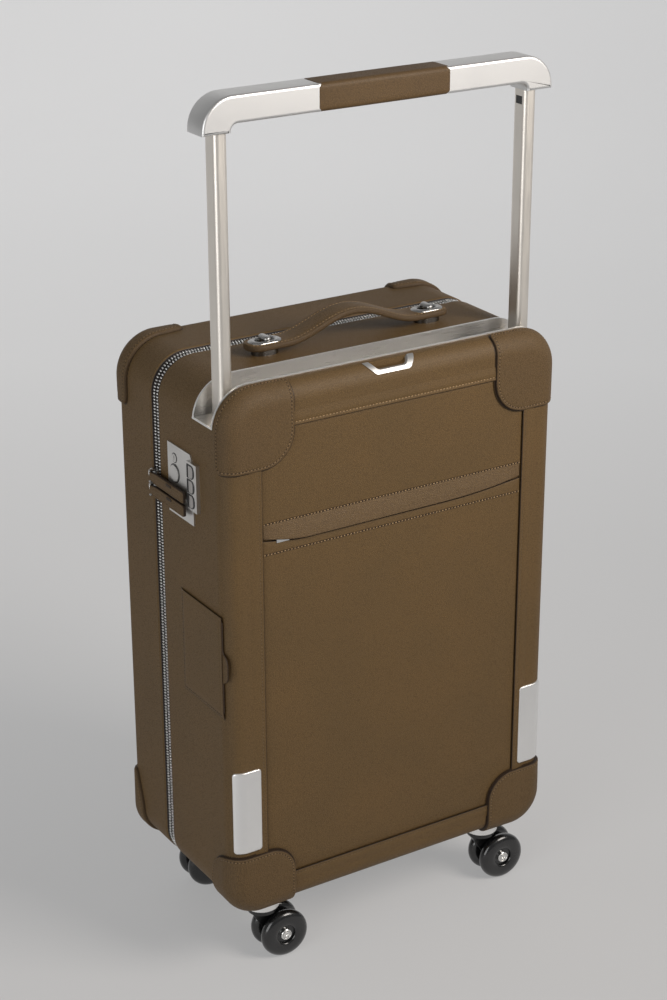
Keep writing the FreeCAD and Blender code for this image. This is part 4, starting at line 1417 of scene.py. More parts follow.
@dataclass
class CornerLeather(SubAssembly):
    """Stitched leather corners of both faces and the metal kick plates."""

    front_top: FrontPatch = FrontPatch(2.2, 100.0, 482.0, 13.0, 30.0, 7.0, 5.0)
    front_low: FrontPatch = FrontPatch(3.2, 104.0, 127.0, 35.0, 26.0, 30.0, 26.0)
    rear_top: RearPatch = RearPatch(57.0, 3.0, 0.7)
    rear_low: RearPatch = RearPatch(67.0, 11.0, 0.1)
    rear_thickness: float = 3.0
    rear_inner_x: float = 108.0
    rear_depth: float = 18.5
    rear_radius: float = 20.0
    rear_tip_radius: float = 4.0
    rear_turn: float = 0.96
    rear_end_share: float = 0.1
    stitch_rise: float = 0.12
    shade_line_width: float = 1.5
    kick_inner_x: float = 136.4
    kick_low: float = 131.8
    kick_high: float = 211.0
    kick_thickness: float = 1.6
    kick_reach: float = 5.0
    kick_radius: float = 3.0

    def build(self) -> None:
        """Builds and dresses the corners."""
        for body, name, node, patch in (("case", "front_corner", "front_corner_patches", self._front_patch),
                                        ("lid", "rear_corner", "rear_corners", self._rear_patch)):
            pads = [patch(side, high) for side in Side for high in (True, False)]
            for i, pad in enumerate(pads, 1):
                self.settle(pad.build(f"{name}_{i}"), body, "leather_trim", TRIM_LEATHER, node)
            self.sew(f"{name}_stitches", [pad.seam(self.stitch_rise) for pad in pads], body)
            # Painted shadow: a dark strip just outside each patch's edge stands in for the shade at its foot.
            self.crease(f"{name}_crease", [pad.foot() for pad in pads], body, self.shade_line_width)
        for i, side in enumerate(Side, 1):
            plate = self._kick_plate(side).build(f"kick_plate_{i}")
            self.settle(plate, "case", "satin_aluminium", SATIN, "kick_plates")

    def _front_patch(self, side: Side, high: bool) -> LeatherPad:
        """One front corner.

        Args:
            side: Left or right.
            high: Whether it is a top corner.

        Returns:
            Its pad.
        """
        corner, cut = FORM.corner_size(high), self.front_top if high else self.front_low
        far = FORM.reach(End.FRONT, high, cut.depth)
        u0 = cut.inner_x - (FORM.half_width - corner)
        v0 = cut.edge_z - (FORM.top - corner) if high else FORM.bottom + corner - cut.edge_z
        outline = [(u0, v0, cut.inner_radius), (far, v0, cut.side_radius), (far, far, far - 0.01),
                   (u0, far, cut.end_radius)]
        return LeatherPad(outline, cut.thickness, FORM.round_corner(side, high, End.FRONT), seam_in=2.6,
                          edge=1.2, crown=0.5, inner_rings=22, edge_steps=14, arc_steps=18)

    def _rear_patch(self, side: Side, high: bool) -> LeatherPad:
        """One proud corner of the lid.

        Args:
            side: Left or right.
            high: Whether it is a top corner.

        Returns:
            Its pad.
        """
        corner, cut = FORM.corner_size(high), self.rear_top if high else self.rear_low
        far = FORM.reach(End.REAR, high, self.rear_depth)
        u0, v0 = self.rear_inner_x - (FORM.half_width - corner), corner - cut.height
        tip, round_tip = far - cut.tip, self.rear_tip_radius
        outline = [(u0, v0, self.rear_radius), (tip, v0, round_tip),
                   (far, v0 * cut.bend_share, self.rear_radius), (far, far, far * self.rear_turn),
                   (u0 * self.rear_end_share, far, self.rear_radius), (u0, tip, round_tip)]
        return LeatherPad(outline, self.rear_thickness, FORM.round_corner(side, high, End.REAR), edge=2.2,
                          crown=0.4, inner_rings=24, edge_steps=12, arc_steps=14, dark_edge=0.5)

    def _kick_plate(self, side: Side) -> LeatherPad:
        """One metal plate over the lower front edge.

        Args:
            side: Left or right.

        Returns:
            Its pad.
        """
        corner = FORM.corner_size(False)
        mid_x, base = FORM.half_width - corner, FORM.bottom + corner
        far = FORM.reach(End.FRONT, False, self.kick_reach)
        outline = rectangle(self.kick_inner_x - mid_x, far, base - self.kick_high, base - self.kick_low,
                            self.kick_radius)
        return LeatherPad(outline, self.kick_thickness, FORM.round_corner(side, False, End.FRONT), dip=0.0,
                          edge=1.0, inner_rings=16, edge_steps=16, arc_steps=6, dark_edge=0.0)


@dataclass
class ZipFastening(SubAssembly):
    """The closing zip, its sliders and pulls, and the leather hinge on the other side."""

    tape_inset: float = 2.6
    tape_upstand: float = 1.0
    tape_thickness: float = 1.2
    tape_gap: float = 0.15
    tape_edge: float = 0.05
    tape_fold: float = 0.5
    tooth_inset: float = 1.9
    tooth_reach: float = 2.75
    head_inset: float = 2.35
    head_reach: float = 1.0
    gusset_outer: float = 2.05
    gusset_inner: float = 3.9
    gusset_steps: int = 17
    gusset_sag: float = 0.45
    gusset_z: float = 300.0
    slider_zs: Pair = (446.0, 434.0)
    bail_x: float = -168.0
    bail_reach: float = 8.0
    bail_half: float = 4.9
    bail_radius: float = 0.75
    bail_steps: int = 17
    pin_x: float = -170.5
    pin_cover: float = 1.4
    pull_end_y: float = -34.0
    pull_neck_y: float = 15.5
    pull_taper: float = 6.0
    pull_width: float = 10.0
    pull_neck: float = 7.8
    pull_thickness: float = 2.6
    catch_y: float = -9.0
    catch_half: float = 4.5
    catch_low: float = 1.4
    catch_gap: float = 0.9

    def build(self) -> None:
        """Builds and dresses the zip."""
        for body, node, sign in (("case", "zip_track_case", -1.0), ("lid", "zip_track_lid", 1.0)):
            self._tape(body, node, sign)
            # The tooth heads in the middle of the chain are dark as painted shade between the two rows of
            # teeth.
            for name, inset, reach, spec, finish in (
                    ("teeth", self.tooth_inset, self.tooth_reach, TOOTH, ZIP_METAL),
                    ("shaded_heads", self.head_inset, self.head_reach, TOOTH_HEAD, DARK_METAL)):
                line = self._tooth_line(sign, inset, reach)
                row = self.rows.make(f"zip_{name}_{body}", [line], spec, finish)
                self.settle(row, body, "bright_metal")
        self._gusset()
        for name, z in zip(("upper", "lower"), self.slider_zs):
            self.dress(FITTING, f"zip_slider_{name}")
            self._bail(name, z)
            self._pull(name, z)

    def _tooth_line(self, sign: float, inset: float, reach: float) -> Seam:
        """Line that one half's teeth follow.

        Args:
            sign: -1 for the case's side of the zip, 1 for the lid's.
            inset: How far it lies inside the case's surface.
            reach: How far it lies from the middle of the zip.

        Returns:
            The line, half a pitch on for the lid so that the teeth mesh.
        """
        run, outer = FORM.zip_run(inset), FORM.zip_run(inset - 1.0)
        points = upright(run, FORM.zip_y + sign * reach)
        if sign > 0:
            points[0, 0] -= TOOTH.pitch / 2
        return Seam(points, upright(outer - run, 0.0), False)

    def _tape(self, body: str, node: str, sign: float) -> None:
        """Woven tape that carries the teeth of one half.

        Args:
            body: The body it rides on.
            node: The node it stands for.
            sign: -1 for the case's side of the zip, 1 for the lid's.
        """
        near = FORM.zip_y + sign * self.tape_gap
        far = FORM.zip_y + sign * (FORM.zip_half - self.tape_edge)
        fold, back = far - sign * self.tape_fold, self.tape_inset + self.tape_thickness
        section = [(near, self.tape_inset), (fold, self.tape_inset), (fold, self.tape_upstand),
                   (far, self.tape_upstand), (far, back), (near, back)]
        rings = np.stack([upright(FORM.zip_run(inset), y) for y, inset in section], axis=1)
        piece = mesh_piece(f"zip_tape_{body}", loft(rings), sharp=40.0)
        self.settle(piece, body, "lining_cloth", TAPE, node)

    def _gusset(self) -> None:
        """Soft leather between the halves on the hinge side."""
        across = np.linspace(-1.0, 1.0, self.gusset_steps)
        depths = FORM.zip_y + across * FORM.zip_half

        def strip(x: float, z: float) -> Array:
            """A straight line across the gusset."""
            return np.stack([np.full(len(depths), x), depths, np.full(len(depths), z)], axis=1)

        rings = []
        for (x0, z0), (x1, z1) in zip(FORM.hinge_run(self.gusset_outer), FORM.hinge_run(self.gusset_inner)):
            sag = (1 - across ** 2)[:, None] * np.array([x1 - x0, 0.0, z1 - z0]) * self.gusset_sag
            rings.append(np.concatenate([strip(x0, z0) + sag, strip(x1, z1)[::-1]]))
        piece = mesh_piece("hinge_leather", loft(rings), SOFT_FOLD)
        piece.data.materials.append(SHELF.get(EDGE_LEATHER))
        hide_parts("hinge_gusset")
        start, end = ((FORM.half_width * MM, y * MM, self.gusset_z * MM)
                      for y in (FORM.zip_y - FORM.zip_half, FORM.zip_y + FORM.zip_half))
        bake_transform(piece)
        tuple(start)
        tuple(end)
        LOG.info("made %s between case and lid", piece.name)

    def _bail(self, name: str, z: float) -> None:
        """Bent wire that guards a slider's pin on the side away from the pull.

        Args:
            name: Upper or lower.
            z: Height of its slider.
        """
        turns = np.linspace(0.0, math.pi, self.bail_steps)
        path = np.stack([np.full(len(turns), self.bail_x), FORM.zip_y + self.bail_reach * np.sin(turns),
                         z - self.bail_half * np.cos(turns)], axis=1)
        piece = mesh_piece(f"bail_{name}", wire(path, self.bail_radius))
        self.settle(piece, f"zip_slider_{name}", "bright_metal", BRIGHT)

    def _pull(self, name: str, z: float) -> None:
        """Leather pull on a slider's pin, with painted shade in its slit.

        Args:
            name: Upper or lower.
            z: Height of its slider.
        """
        body, half, neck = f"zip_pull_{name}", self.pull_width / 2, self.pull_neck / 2
        edge = [(self.pull_end_y, half, 2.2), (self.pull_neck_y, half, 5.0),
                (self.pull_neck_y + self.pull_taper, neck, 3.0), (FORM.zip_y + self.pin_cover, neck, 0.8)]
        outline = [(y, z - out, radius) for y, out, radius in edge]
        outline += [(y, z + out, radius) for y, out, radius in reversed(edge)]
        pad = LeatherPad(outline, self.pull_thickness, on_left(self.pin_x + self.pull_thickness / 2),
                         seam_in=2.0, dip=0.18, edge=0.8, sink=0.0, inner_rings=10, edge_steps=8, arc_steps=6)
        self.settle(pad.build(f"pull_{name}"), body, "leather_trim", TRIM_LEATHER, body)
        # Painted shade: a thin dark patch over the pull's slit stands in for the shade inside it.
        slit = rectangle(self.catch_y - self.catch_half, self.catch_y + self.catch_half,
                         z + self.catch_low, z + half - self.catch_gap, 1.2)
        slit_shade = LeatherPad(slit, 0.35, on_left(self.pin_x - self.pull_thickness / 2), dip=0.0, edge=0.3,
                           sink=0.3, inner_rings=5, edge_steps=4, arc_steps=5, dark_edge=0.0)
        self.settle(slit_shade.build(f"pull_catch_{name}"), body, "leather_trim", GROOVE_AND_SHADE)


@dataclass
class TrolleyHandle(SubAssembly):
    """The handle that slides in the case, its tray and the notch in front of it.

    The tray's lip is (share of the wall's thickness, height), and the sleeve's ease (distance from its end,
    inset).
    """

    post_y: float = -59.0
    grip_top: float = 781.0
    grip_low: float = 759.0
    end_low: float = 752.0
    half_depth: float = 13.0
    half_width: float = 165.0
    leg: float = 25.0
    outer_radius: float = 27.0
    inner_radius: float = 6.5
    edge_round: float = 2.2
    cap_inset: float = 0.4
    tuck: float = 3.0
    sleeve_half: float = 62.0
    sleeve_gap: float = 0.25
    sleeve_radius: float = 3.6
    sleeve_grow: float = 0.45
    sleeve_middle: tuple[float, ...] = (-30.0, 0.0, 30.0)
    sleeve_ease: Pairs = ((0.0, 0.9), (0.0, 0.25), (0.5, -0.15), (1.5, -0.35))
    tray_front: float = -75.0
    tray_back: float = -43.0
    tray_floor: float = 518.0
    tray_wall: float = 1.5
    tray_grow: float = 0.6
    tray_lip: Pairs = ((-0.12, -0.25), (-0.12, 0.2), (0.2, 0.45), (0.8, 0.45),
                                               (1.12, 0.2), (1.12, -0.25))

    def build(self) -> None:
        """Builds and dresses the handle."""
        self.dress(TRAY_METAL, "handle_tray", "guide_tubes", "grip_core")
        # The notch rim takes the darker, painted-shade copy of the metal.
        self.dress(SHADED_NOTCH_METAL, "notch_rim")
        self.dress(POST_METAL, "trolley_posts")
        self.dress(BLACK, "tube_feet", "stow_catch", "release_button")
        self._tray_rims()
        for side in Side:
            self._grip_end(side)
        self._sleeve()

    def _tray_rims(self) -> None:
        """Polished edges of the tray, over both of its walls and across its floor at each end."""
        wall, floor, edge = self.tray_wall, self.tray_floor, FORM.half_width + self.tray_grow
        lines = [FORM.over_top(self.tray_grow, floor), FORM.over_top(self.tray_grow + 1.0, floor)]
        rims = {}
        for name, y in (("front", self.tray_front), ("back", self.tray_back - wall)):
            rims[f"tray_rim_{name}"] = [
                np.array([(x0 + (x1 - x0) * h, y + wall * d, z0 + (z1 - z0) * h) for d, h in self.tray_lip])
                for (x0, z0), (x1, z1) in zip(*lines)]
        for side in Side:
            rims[f"tray_sill_{side.label}"] = [
                np.array([(side.value * (edge + h), y, floor + wall * d) for d, h in self.tray_lip])
                for y in np.linspace(self.tray_front, self.tray_back, 9)]
        for name, rings in rims.items():
            self.settle(mesh_piece(name, loft(rings)), "case", "satin_aluminium", RIM_METAL)

    def _grip_end(self, side: Side) -> None:
        """Cast end of the grip, which turns down over its post.

        Args:
            side: Left or right.
        """
        inner_x, under = self.half_width - self.leg, self.sleeve_half - self.tuck
        outline = [(under, self.grip_low, 0.0), (inner_x, self.grip_low, self.inner_radius),
                   (inner_x, self.end_low, 0.0), (self.half_width, self.end_low, 0.0),
                   (self.half_width, self.grip_top, self.outer_radius), (under, self.grip_top, 0.0)]
        soft, deep = self.edge_round, self.half_depth
        half = [(soft + self.cap_inset, deep)]
        half += [(soft * (1 - math.sin(t)), deep - soft * (1 - math.cos(t)))
                 for t in np.linspace(0, math.pi / 2, 6)]
        rows = [(inset, -y) for inset, y in half] + half[::-1]
        rings = [upright(rounded_outline(outline, inset, 16, 2) * (side.value, 1.0), self.post_y + y)
                 for inset, y in rows]
        count = len(rings[0])
        faces = [face for face in loft(rings)[1] if len(face) == 4]
        faces += [tuple(range(count)), tuple(range((len(rings) - 1) * count, len(rings) * count))]
        piece = mesh_piece(f"grip_cast_{side.label}", (np.concatenate(rings), faces))
        self.settle(piece, "trolley", "satin_aluminium", GRIP_METAL, f"grip_end_{side.label}")

    def _sleeve(self) -> None:
        """Leather sleeve on the middle of the grip."""
        half = self.sleeve_half - self.sleeve_gap
        section = rectangle(self.post_y - self.half_depth, self.post_y + self.half_depth, self.grip_low,
                            self.grip_top, self.sleeve_radius)
        stations = [(-half + along, inset) for along, inset in self.sleeve_ease]
        stations += [(x, -self.sleeve_grow) for x in self.sleeve_middle]
        stations += [(half - along, inset) for along, inset in reversed(self.sleeve_ease)]
        rings = [laid(on_left(x), rounded_outline(section, inset, 6, 6), 0.0) for x, inset in stations]
        paint = np.repeat([float(inset > 0) for _, inset in stations], len(rings[0]))
        piece = mesh_piece("grip_leather", loft(rings), SOFT_FOLD, np.append(paint, np.ones(2)))
        self.settle(piece, "trolley", "leather_trim", SLEEVE_LEATHER, "grip_sleeve")


@dataclass
class CarryHandle(SubAssembly):
    """The arched carry strap on the top and the turn knobs that hold it.

    An eyelet's rows are (share from hole to rim, height), and a knob's (inset, height).
    """

    centre_y: float = -15.0
    half_length: float = 99.0
    half_width: float = 12.5
    thickness: float = 5.0
    edge_round: float = 1.2
    foot_z: float = 555.5
    rise: float = 17.0
    foot_x: float = 64.0
    crest_x: float = 1.0
    end_radius: float = 11.0
    end_steps: int = 9
    arch_steps: int = 70
    edge_paint: float = 0.4
    edge_band: float = 0.7
    stitch_share: float = 0.74
    stitch_end: float = 4.0
    stitch_sink: float = 0.12
    stitch_steps: int = 90
    stud_x: float = 81.0
    eye: Pair = (17.0, 9.0)
    ring: Pair = (30.0, 17.0)
    ring_rows: Pairs = (
        (0.0, -0.9), (0.0, 0.5), (0.1, 1.1), (0.3, 1.6), (0.55, 1.55), (0.8, 1.0), (0.95, 0.45), (1.0, 0.1),
        (1.0, -0.1), (0.5, -0.1))
    stem: float = 5.2
    stem_down: float = 4.0
    knob: Pair = (6.5, 14.0)
    knob_up: float = 1.4
    knob_rows: Pairs = (
        (0.35, 0.0), (0.0, 0.4), (0.0, 1.5), (0.25, 2.3), (0.8, 3.0), (1.6, 3.45), (2.5, 3.6))

    def build(self) -> None:
        """Builds and dresses the handle."""
        # The bases are dressed dark as painted shade under the strap.
        self.dress(SHADED_BASE_METAL, "carry_bases")
        self._strap()
        self._sew_strap()
        for side in Side:
            self._eyelet(side)
            self._knob(side)

    def _height(self, x: Array) -> Array:
        """Height of the strap's underside."""
        share = np.clip((self.foot_x - np.abs(x)) / (self.foot_x - self.crest_x), 0.0, 1.0)
        return self.foot_z + self.rise * share ** 2 * (3 - 2 * share)

    def _lean(self, x: Array) -> tuple[Array, Array]:
        """The strap's slope, and its length for each millimetre across the case."""
        slope = np.gradient(self._height(x), x)
        return slope, np.hypot(1.0, slope)

    def _cut(self, x: Array) -> Array:
        """How far the rounded ends draw the strap's edges in."""
        near = np.clip(self.end_radius - (self.half_length - np.abs(x)), 0.0, None)
        return self.end_radius - np.sqrt(np.maximum(self.end_radius ** 2 - near ** 2, 0.0))

    def _section(self, half: float) -> Array:
        """The strap's section, with a crowned top and rounded, stitched edges.

        Args:
            half: Half its width.

        Returns:
            (across, up) points.
        """
        t, e = self.thickness, min(half * 0.5, self.edge_round)
        top = [(half, t * 0.5), (half - 0.15 * e, t - 0.75 * e), (half - 0.45 * e, t - 0.25 * e),
               (half - e, t), (half * 0.8, t), (half * 0.76, t - 0.22), (half * 0.72, t - 0.22),
               (half * 0.66, t + 0.05), (half * 0.4, t + 0.3)]
        low = [(half - e, 0.0), (half - 0.3 * e, 0.3 * e), (half, t * 0.3)]
        upper = top + [(-a, b) for a, b in reversed(top)]
        lower = [(-a, b) for a, b in reversed(low)] + low
        return np.array(upper + lower)

    def _strap(self) -> None:
        """Leather strap with a hole at each end."""
        straight = self.half_length - self.end_radius
        turns = np.linspace(0.0, math.pi / 2, self.end_steps)
        ends = self.half_length - self.end_radius * (1 - np.cos(turns))
        inner = np.linspace(straight, -straight, self.arch_steps)
        xs = np.concatenate([ends[:-1], inner, -ends[::-1][1:]])
        rings, paints = [], []
        for x, z, slope, lean, cut in zip(xs, self._height(xs), *self._lean(xs), self._cut(xs)):
            across, up = self._section(self.half_width - cut * 0.999).T
            rings.append(np.stack([x - slope / lean * up, self.centre_y + across, z + up / lean], axis=1))
            paints.append((np.abs(across) > (self.half_width - cut) - self.edge_band) * self.edge_paint)
        paints[0][:] = paints[-1][:] = self.edge_paint
        paints.append(np.full(2, self.edge_paint))
        strap = mesh_piece("carry_leather", loft(rings), rim=np.concatenate(paints))
        for side in Side:
            self._punch(strap, side)
        self.settle(strap, "case", "leather_trim", TRIM_LEATHER, "carry_strap")

    def _punch(self, strap: bpy.types.Object, side: Side) -> None:
        """Cuts the hole at one end of the strap.

        Args:
            strap: The strap.
            side: Left or right.
        """
        hole = rounded_outline(obround(side.value * self.stud_x, self.centre_y, *self.eye), 0.0, 8, 2)
        below, above = self.foot_z - 3.0, self.foot_z + self.thickness + 4.0
        plug = mesh_piece("plug", loft([level(hole, z) for z in (below, above)]))
        cut = strap.modifiers.new("hole", "BOOLEAN")
        cut.operation, cut.object, cut.solver = "DIFFERENCE", plug, "EXACT"
        depsgraph = bpy.context.evaluated_depsgraph_get()
        strap.data = bpy.data.meshes.new_from_object(strap.evaluated_get(depsgraph))
        strap.modifiers.clear()
        bpy.data.objects.remove(plug)

    def _sew_strap(self) -> None:
        """Stitches along both edges of the strap."""
        reach = self.half_length - self.stitch_end
        xs = np.linspace(reach, -reach, self.stitch_steps)
        slope, lean = self._lean(xs)
        across, up = self.half_width * self.stitch_share - self._cut(xs), self.thickness - self.stitch_sink
        ups = np.stack([-slope / lean, np.zeros(len(xs)), 1 / lean], axis=1)
        seams = [Seam(np.stack([xs - slope / lean * up, self.centre_y + side.value * across,
                                self._height(xs) + up / lean], axis=1), ups, False) for side in Side]
        self.sew("carry_stitches", seams, "case", 1.4, PALE_THREAD)

    def _eyelet(self, side: Side) -> None:
        """Domed oval ring round a strap hole.

        Args:
            side: Left or right.
        """
        x, base = side.value * self.stud_x, self.foot_z + self.thickness + 0.1
        inner = rounded_outline(obround(x, self.centre_y, *self.eye), 0.15, 12, 4)
        outer = rounded_outline(obround(x, self.centre_y, *self.ring), 0.0, 12, 4)
        rings = [level(inner + (outer - inner) * share, base + height) for share, height in self.ring_rows]
        piece = mesh_piece(f"eyelet_{side.label}", loft(rings, Ends.LOOPED))
        self.settle(piece, "case", "bright_metal", FITTING, "carry_eyelets")

    def _knob(self, side: Side) -> None:
        """Turn knob on its stem.

        Args:
            side: Left or right.
        """
        x, name = side.value * self.stud_x, f"carry_knob_{side.label}"
        base = self.foot_z + self.thickness + self.knob_up
        stem = rounded_outline(obround(x, self.centre_y, self.stem, self.stem), 0.0, 8, 2)
        rings = [level(stem, z) for z in (self.foot_z - self.stem_down, base)]
        rings += [level(rounded_outline(obround(x, self.centre_y, *self.knob), inset, 8, 2), base + height)
                  for inset, height in self.knob_rows]
        piece = mesh_piece(f"turn_knob_{side.label}", loft(rings))
        self.settle(piece, name, "bright_metal", FITTING, name)


@dataclass
class SideLock(SubAssembly):
    """Combination lock on the left side.

    A window's sizes are its reach to the front and back of the dial, half height, front and back radius.
    """

    side_x: float = -FORM.half_width
    strip_proud: float = 3.5
    plate_proud: float = 1.5
    dial_y: float = -41.25
    dial_zs: tuple[float, ...] = (471.5, 458.5, 445.5)
    window_outer: tuple[float, ...] = (7.0, 5.2, 6.1, 5.2, 0.8)
    window_inner: tuple[float, ...] = (4.3, 4.0, 5.4, 3.2, 0.4)
    window_rise: float = 0.35
    button: Pair = (-11.5, 460.0)
    button_radius: float = 7.0
    button_shade_width: float = 1.1
    key: Pair = (-11.5, 473.5)
    key_radius: float = 3.5
    key_shade_width: float = 0.7
    shade_gap: float = 0.2
    shade_rise: float = 0.15
    bevel: float = 0.15
    bury: float = 0.2

    def build(self) -> None:
        """Builds and dresses the lock."""
        self.dress(LOCK_METAL, "lock_plate", "lock_button", "key_cylinder")
        self.dress(DARK_METAL, "lock_case")
        self.dress(BRIGHT, "dial_axle")
        face = self.side_x - self.strip_proud
        for i, z in enumerate(self.dial_zs, 1):
            self.dress(DIAL_METAL, f"dial_{i}")
            outer, inner = self._window(z, *self.window_outer), self._window(z, *self.window_inner)
            self._ring(f"dial_window_{i}", outer, inner, face, self.window_rise)
        face = self.side_x - self.plate_proud
        # Painted shade: thin black rings round the button and the key stand in for the shade in the gaps
        # round them.
        for name, (y, z), radius, width in (("button_gap_shade", self.button, self.button_radius, self.button_shade_width),
                                            ("key_gap_shade", self.key, self.key_radius, self.key_shade_width)):
            size = 2 * (radius + self.shade_gap)
            outer = obround(y, z, size + 2 * width, size + 2 * width)
            self._ring(name, outer, obround(y, z, size, size), face, self.shade_rise)

    def _window(self, z: float, front: float, back: float, half: float, front_radius: float,
                back_radius: float) -> Outline:
        """Outline (depth, height) of a dial's window.

        Args:
            z: Height of the dial.
            front: Its reach in front of the dial's middle.
            back: Its reach behind it.
            half: Half its height.
            front_radius: Radius of its front corners.
            back_radius: Radius of its back corners.

        Returns:
            Its corners.
        """
        y0, y1 = self.dial_y - front, self.dial_y + back
        return [(y0, z - half, front_radius), (y1, z - half, back_radius), (y1, z + half, back_radius),
                (y0, z + half, front_radius)]

    def _ring(self, name: str, outer: Outline, inner: Outline, face: float, rise: float) -> None:
        """Dark surround on the lock's face: a bezel round a dial's window, and painted shade in the gaps
        round the button and the key.

        Args:
            name: The piece's name.
            outer: Its outer outline (depth, height).
            inner: Its inner outline.
            face: Place of the face across the case.
            rise: How far it stands out.
        """
        rows = ((outer, 0.0, -self.bury), (outer, 0.0, rise * 0.5), (outer, self.bevel, rise),
                (inner, -self.bevel, rise), (inner, 0.0, rise * 0.5), (inner, 0.0, -self.bury))
        rings = [laid(on_left(face), rounded_outline(outline, inset, 10, 4), height)
                 for outline, inset, height in rows]
        self.settle(mesh_piece(name, loft(rings, Ends.LOOPED)), "case", "black_plastic", BLACK)


@dataclass
class NameTag(SubAssembly):
    """Leather tag in its pocket on the left side."""

    side_x: float = -FORM.half_width
    front_y: float = -84.0
    width: float = 70.0
    low: float = 262.0
    height: float = 94.5
    leather: float = 0.7
    slot: float = 1.3
    fall: float = 9.0
    stitch_in: float = 2.6
    stitch_lift: float = 0.02
    crease_out: float = 0.3
    crease_lift: float = 0.25
    seam: float = 5.0
    play: float = 0.2
    card: float = 1.0
    tab_z: float = 310.0
    tab_radius: float = 13.5
    tab_out: float = 8.0
    tab_straight: float = 0.8

    def build(self) -> None:
        """Builds and dresses the tag."""
        self._pocket()
        self._tag()

    def _sewn_edges(self, x: float, inset: float, top: float, front: float) -> list[Seam]:
        """Lines up the rear edge and along the foot of the pocket.

        Args:
            x: Their place across the case.
            inset: How far inside the pocket's edges they lie.
            top: Where the first one ends.
            front: Where the second one ends.

        Returns:
            The two lines, from their common corner.
        """
        y, z, out = self.front_y + self.width - inset, self.low + inset, (-1.0, 0.0, 0.0)
        return [straight_seam((x, y, z), (x, y, top), out), straight_seam((x, y, z), (x, front, z), out)]

    def _pocket(self) -> None:
        """The pocket's leather, stitched down along its foot and rear edge."""
        back, top, inset = self.front_y + self.width, self.low + self.height, self.stitch_in
        slope = (self.slot + self.leather) / self.fall

        def place(u: Array, v: Array, h: Array) -> Array:
            """Side plane that falls to the case at the sewn edges.

            Args:
                u: Place in depth.
                v: Height on the side.
                h: Height over the plane.

            Returns:
                The points.
            """
            near = np.minimum(np.minimum(back - u, v - self.low) * slope, self.slot)
            return np.stack([self.side_x - np.maximum(near, 0.0) - h, u, v], axis=-1)

        pad = LeatherPad(rectangle(self.front_y, back, self.low, top, 1.5), self.leather, place,
                         seam_in=inset, dip=0.15, edge=0.5, sink=0.0, inner_rings=14, edge_steps=20,
                         arc_steps=5, dark_edge=0.9)
        self.settle(pad.build("tag_pocket_leather"), "case", "leather_trim", CASE_LEATHER, "tag_pocket")
        x = self.side_x - inset * slope - self.leather - self.stitch_lift
        seams = self._sewn_edges(x, inset, top - inset, self.front_y + inset)
        self.sew("tag_pocket_stitches", seams, "case", 1.2, TONAL_THREAD)
        edges = self._sewn_edges(self.side_x - self.crease_lift, -self.crease_out, top, self.front_y)
        self.crease("tag_pocket_crease", edges, "case", 0.9)

    def _tag(self) -> None:
        """The tag with its half-round tab."""
        front, out = self.front_y, self.front_y - self.tab_out
        back, top = front + self.width - self.seam - self.play, self.low + self.height - self.seam
        low, z, r = self.low + self.seam + self.play, self.tab_z, self.tab_radius
        bend = r * self.tab_straight
        outline = [(front, top, 1.0), (front, z + r, 3.0), (out, z + bend, 9.0), (out, z - bend, 9.0),
                   (front, z - r, 3.0), (front, low, 1.0), (back, low, 1.0), (back, top, 1.0)]
        pad = LeatherPad(outline, self.card, on_left(self.side_x - (self.slot - self.card) / 2), dip=0.0,
                         edge=0.3, sink=0.0, inner_rings=10, edge_steps=6, arc_steps=6)
        self.settle(pad.build("tag_leather"), "name_tag", "leather_trim", TRIM_LEATHER, "name_tag")


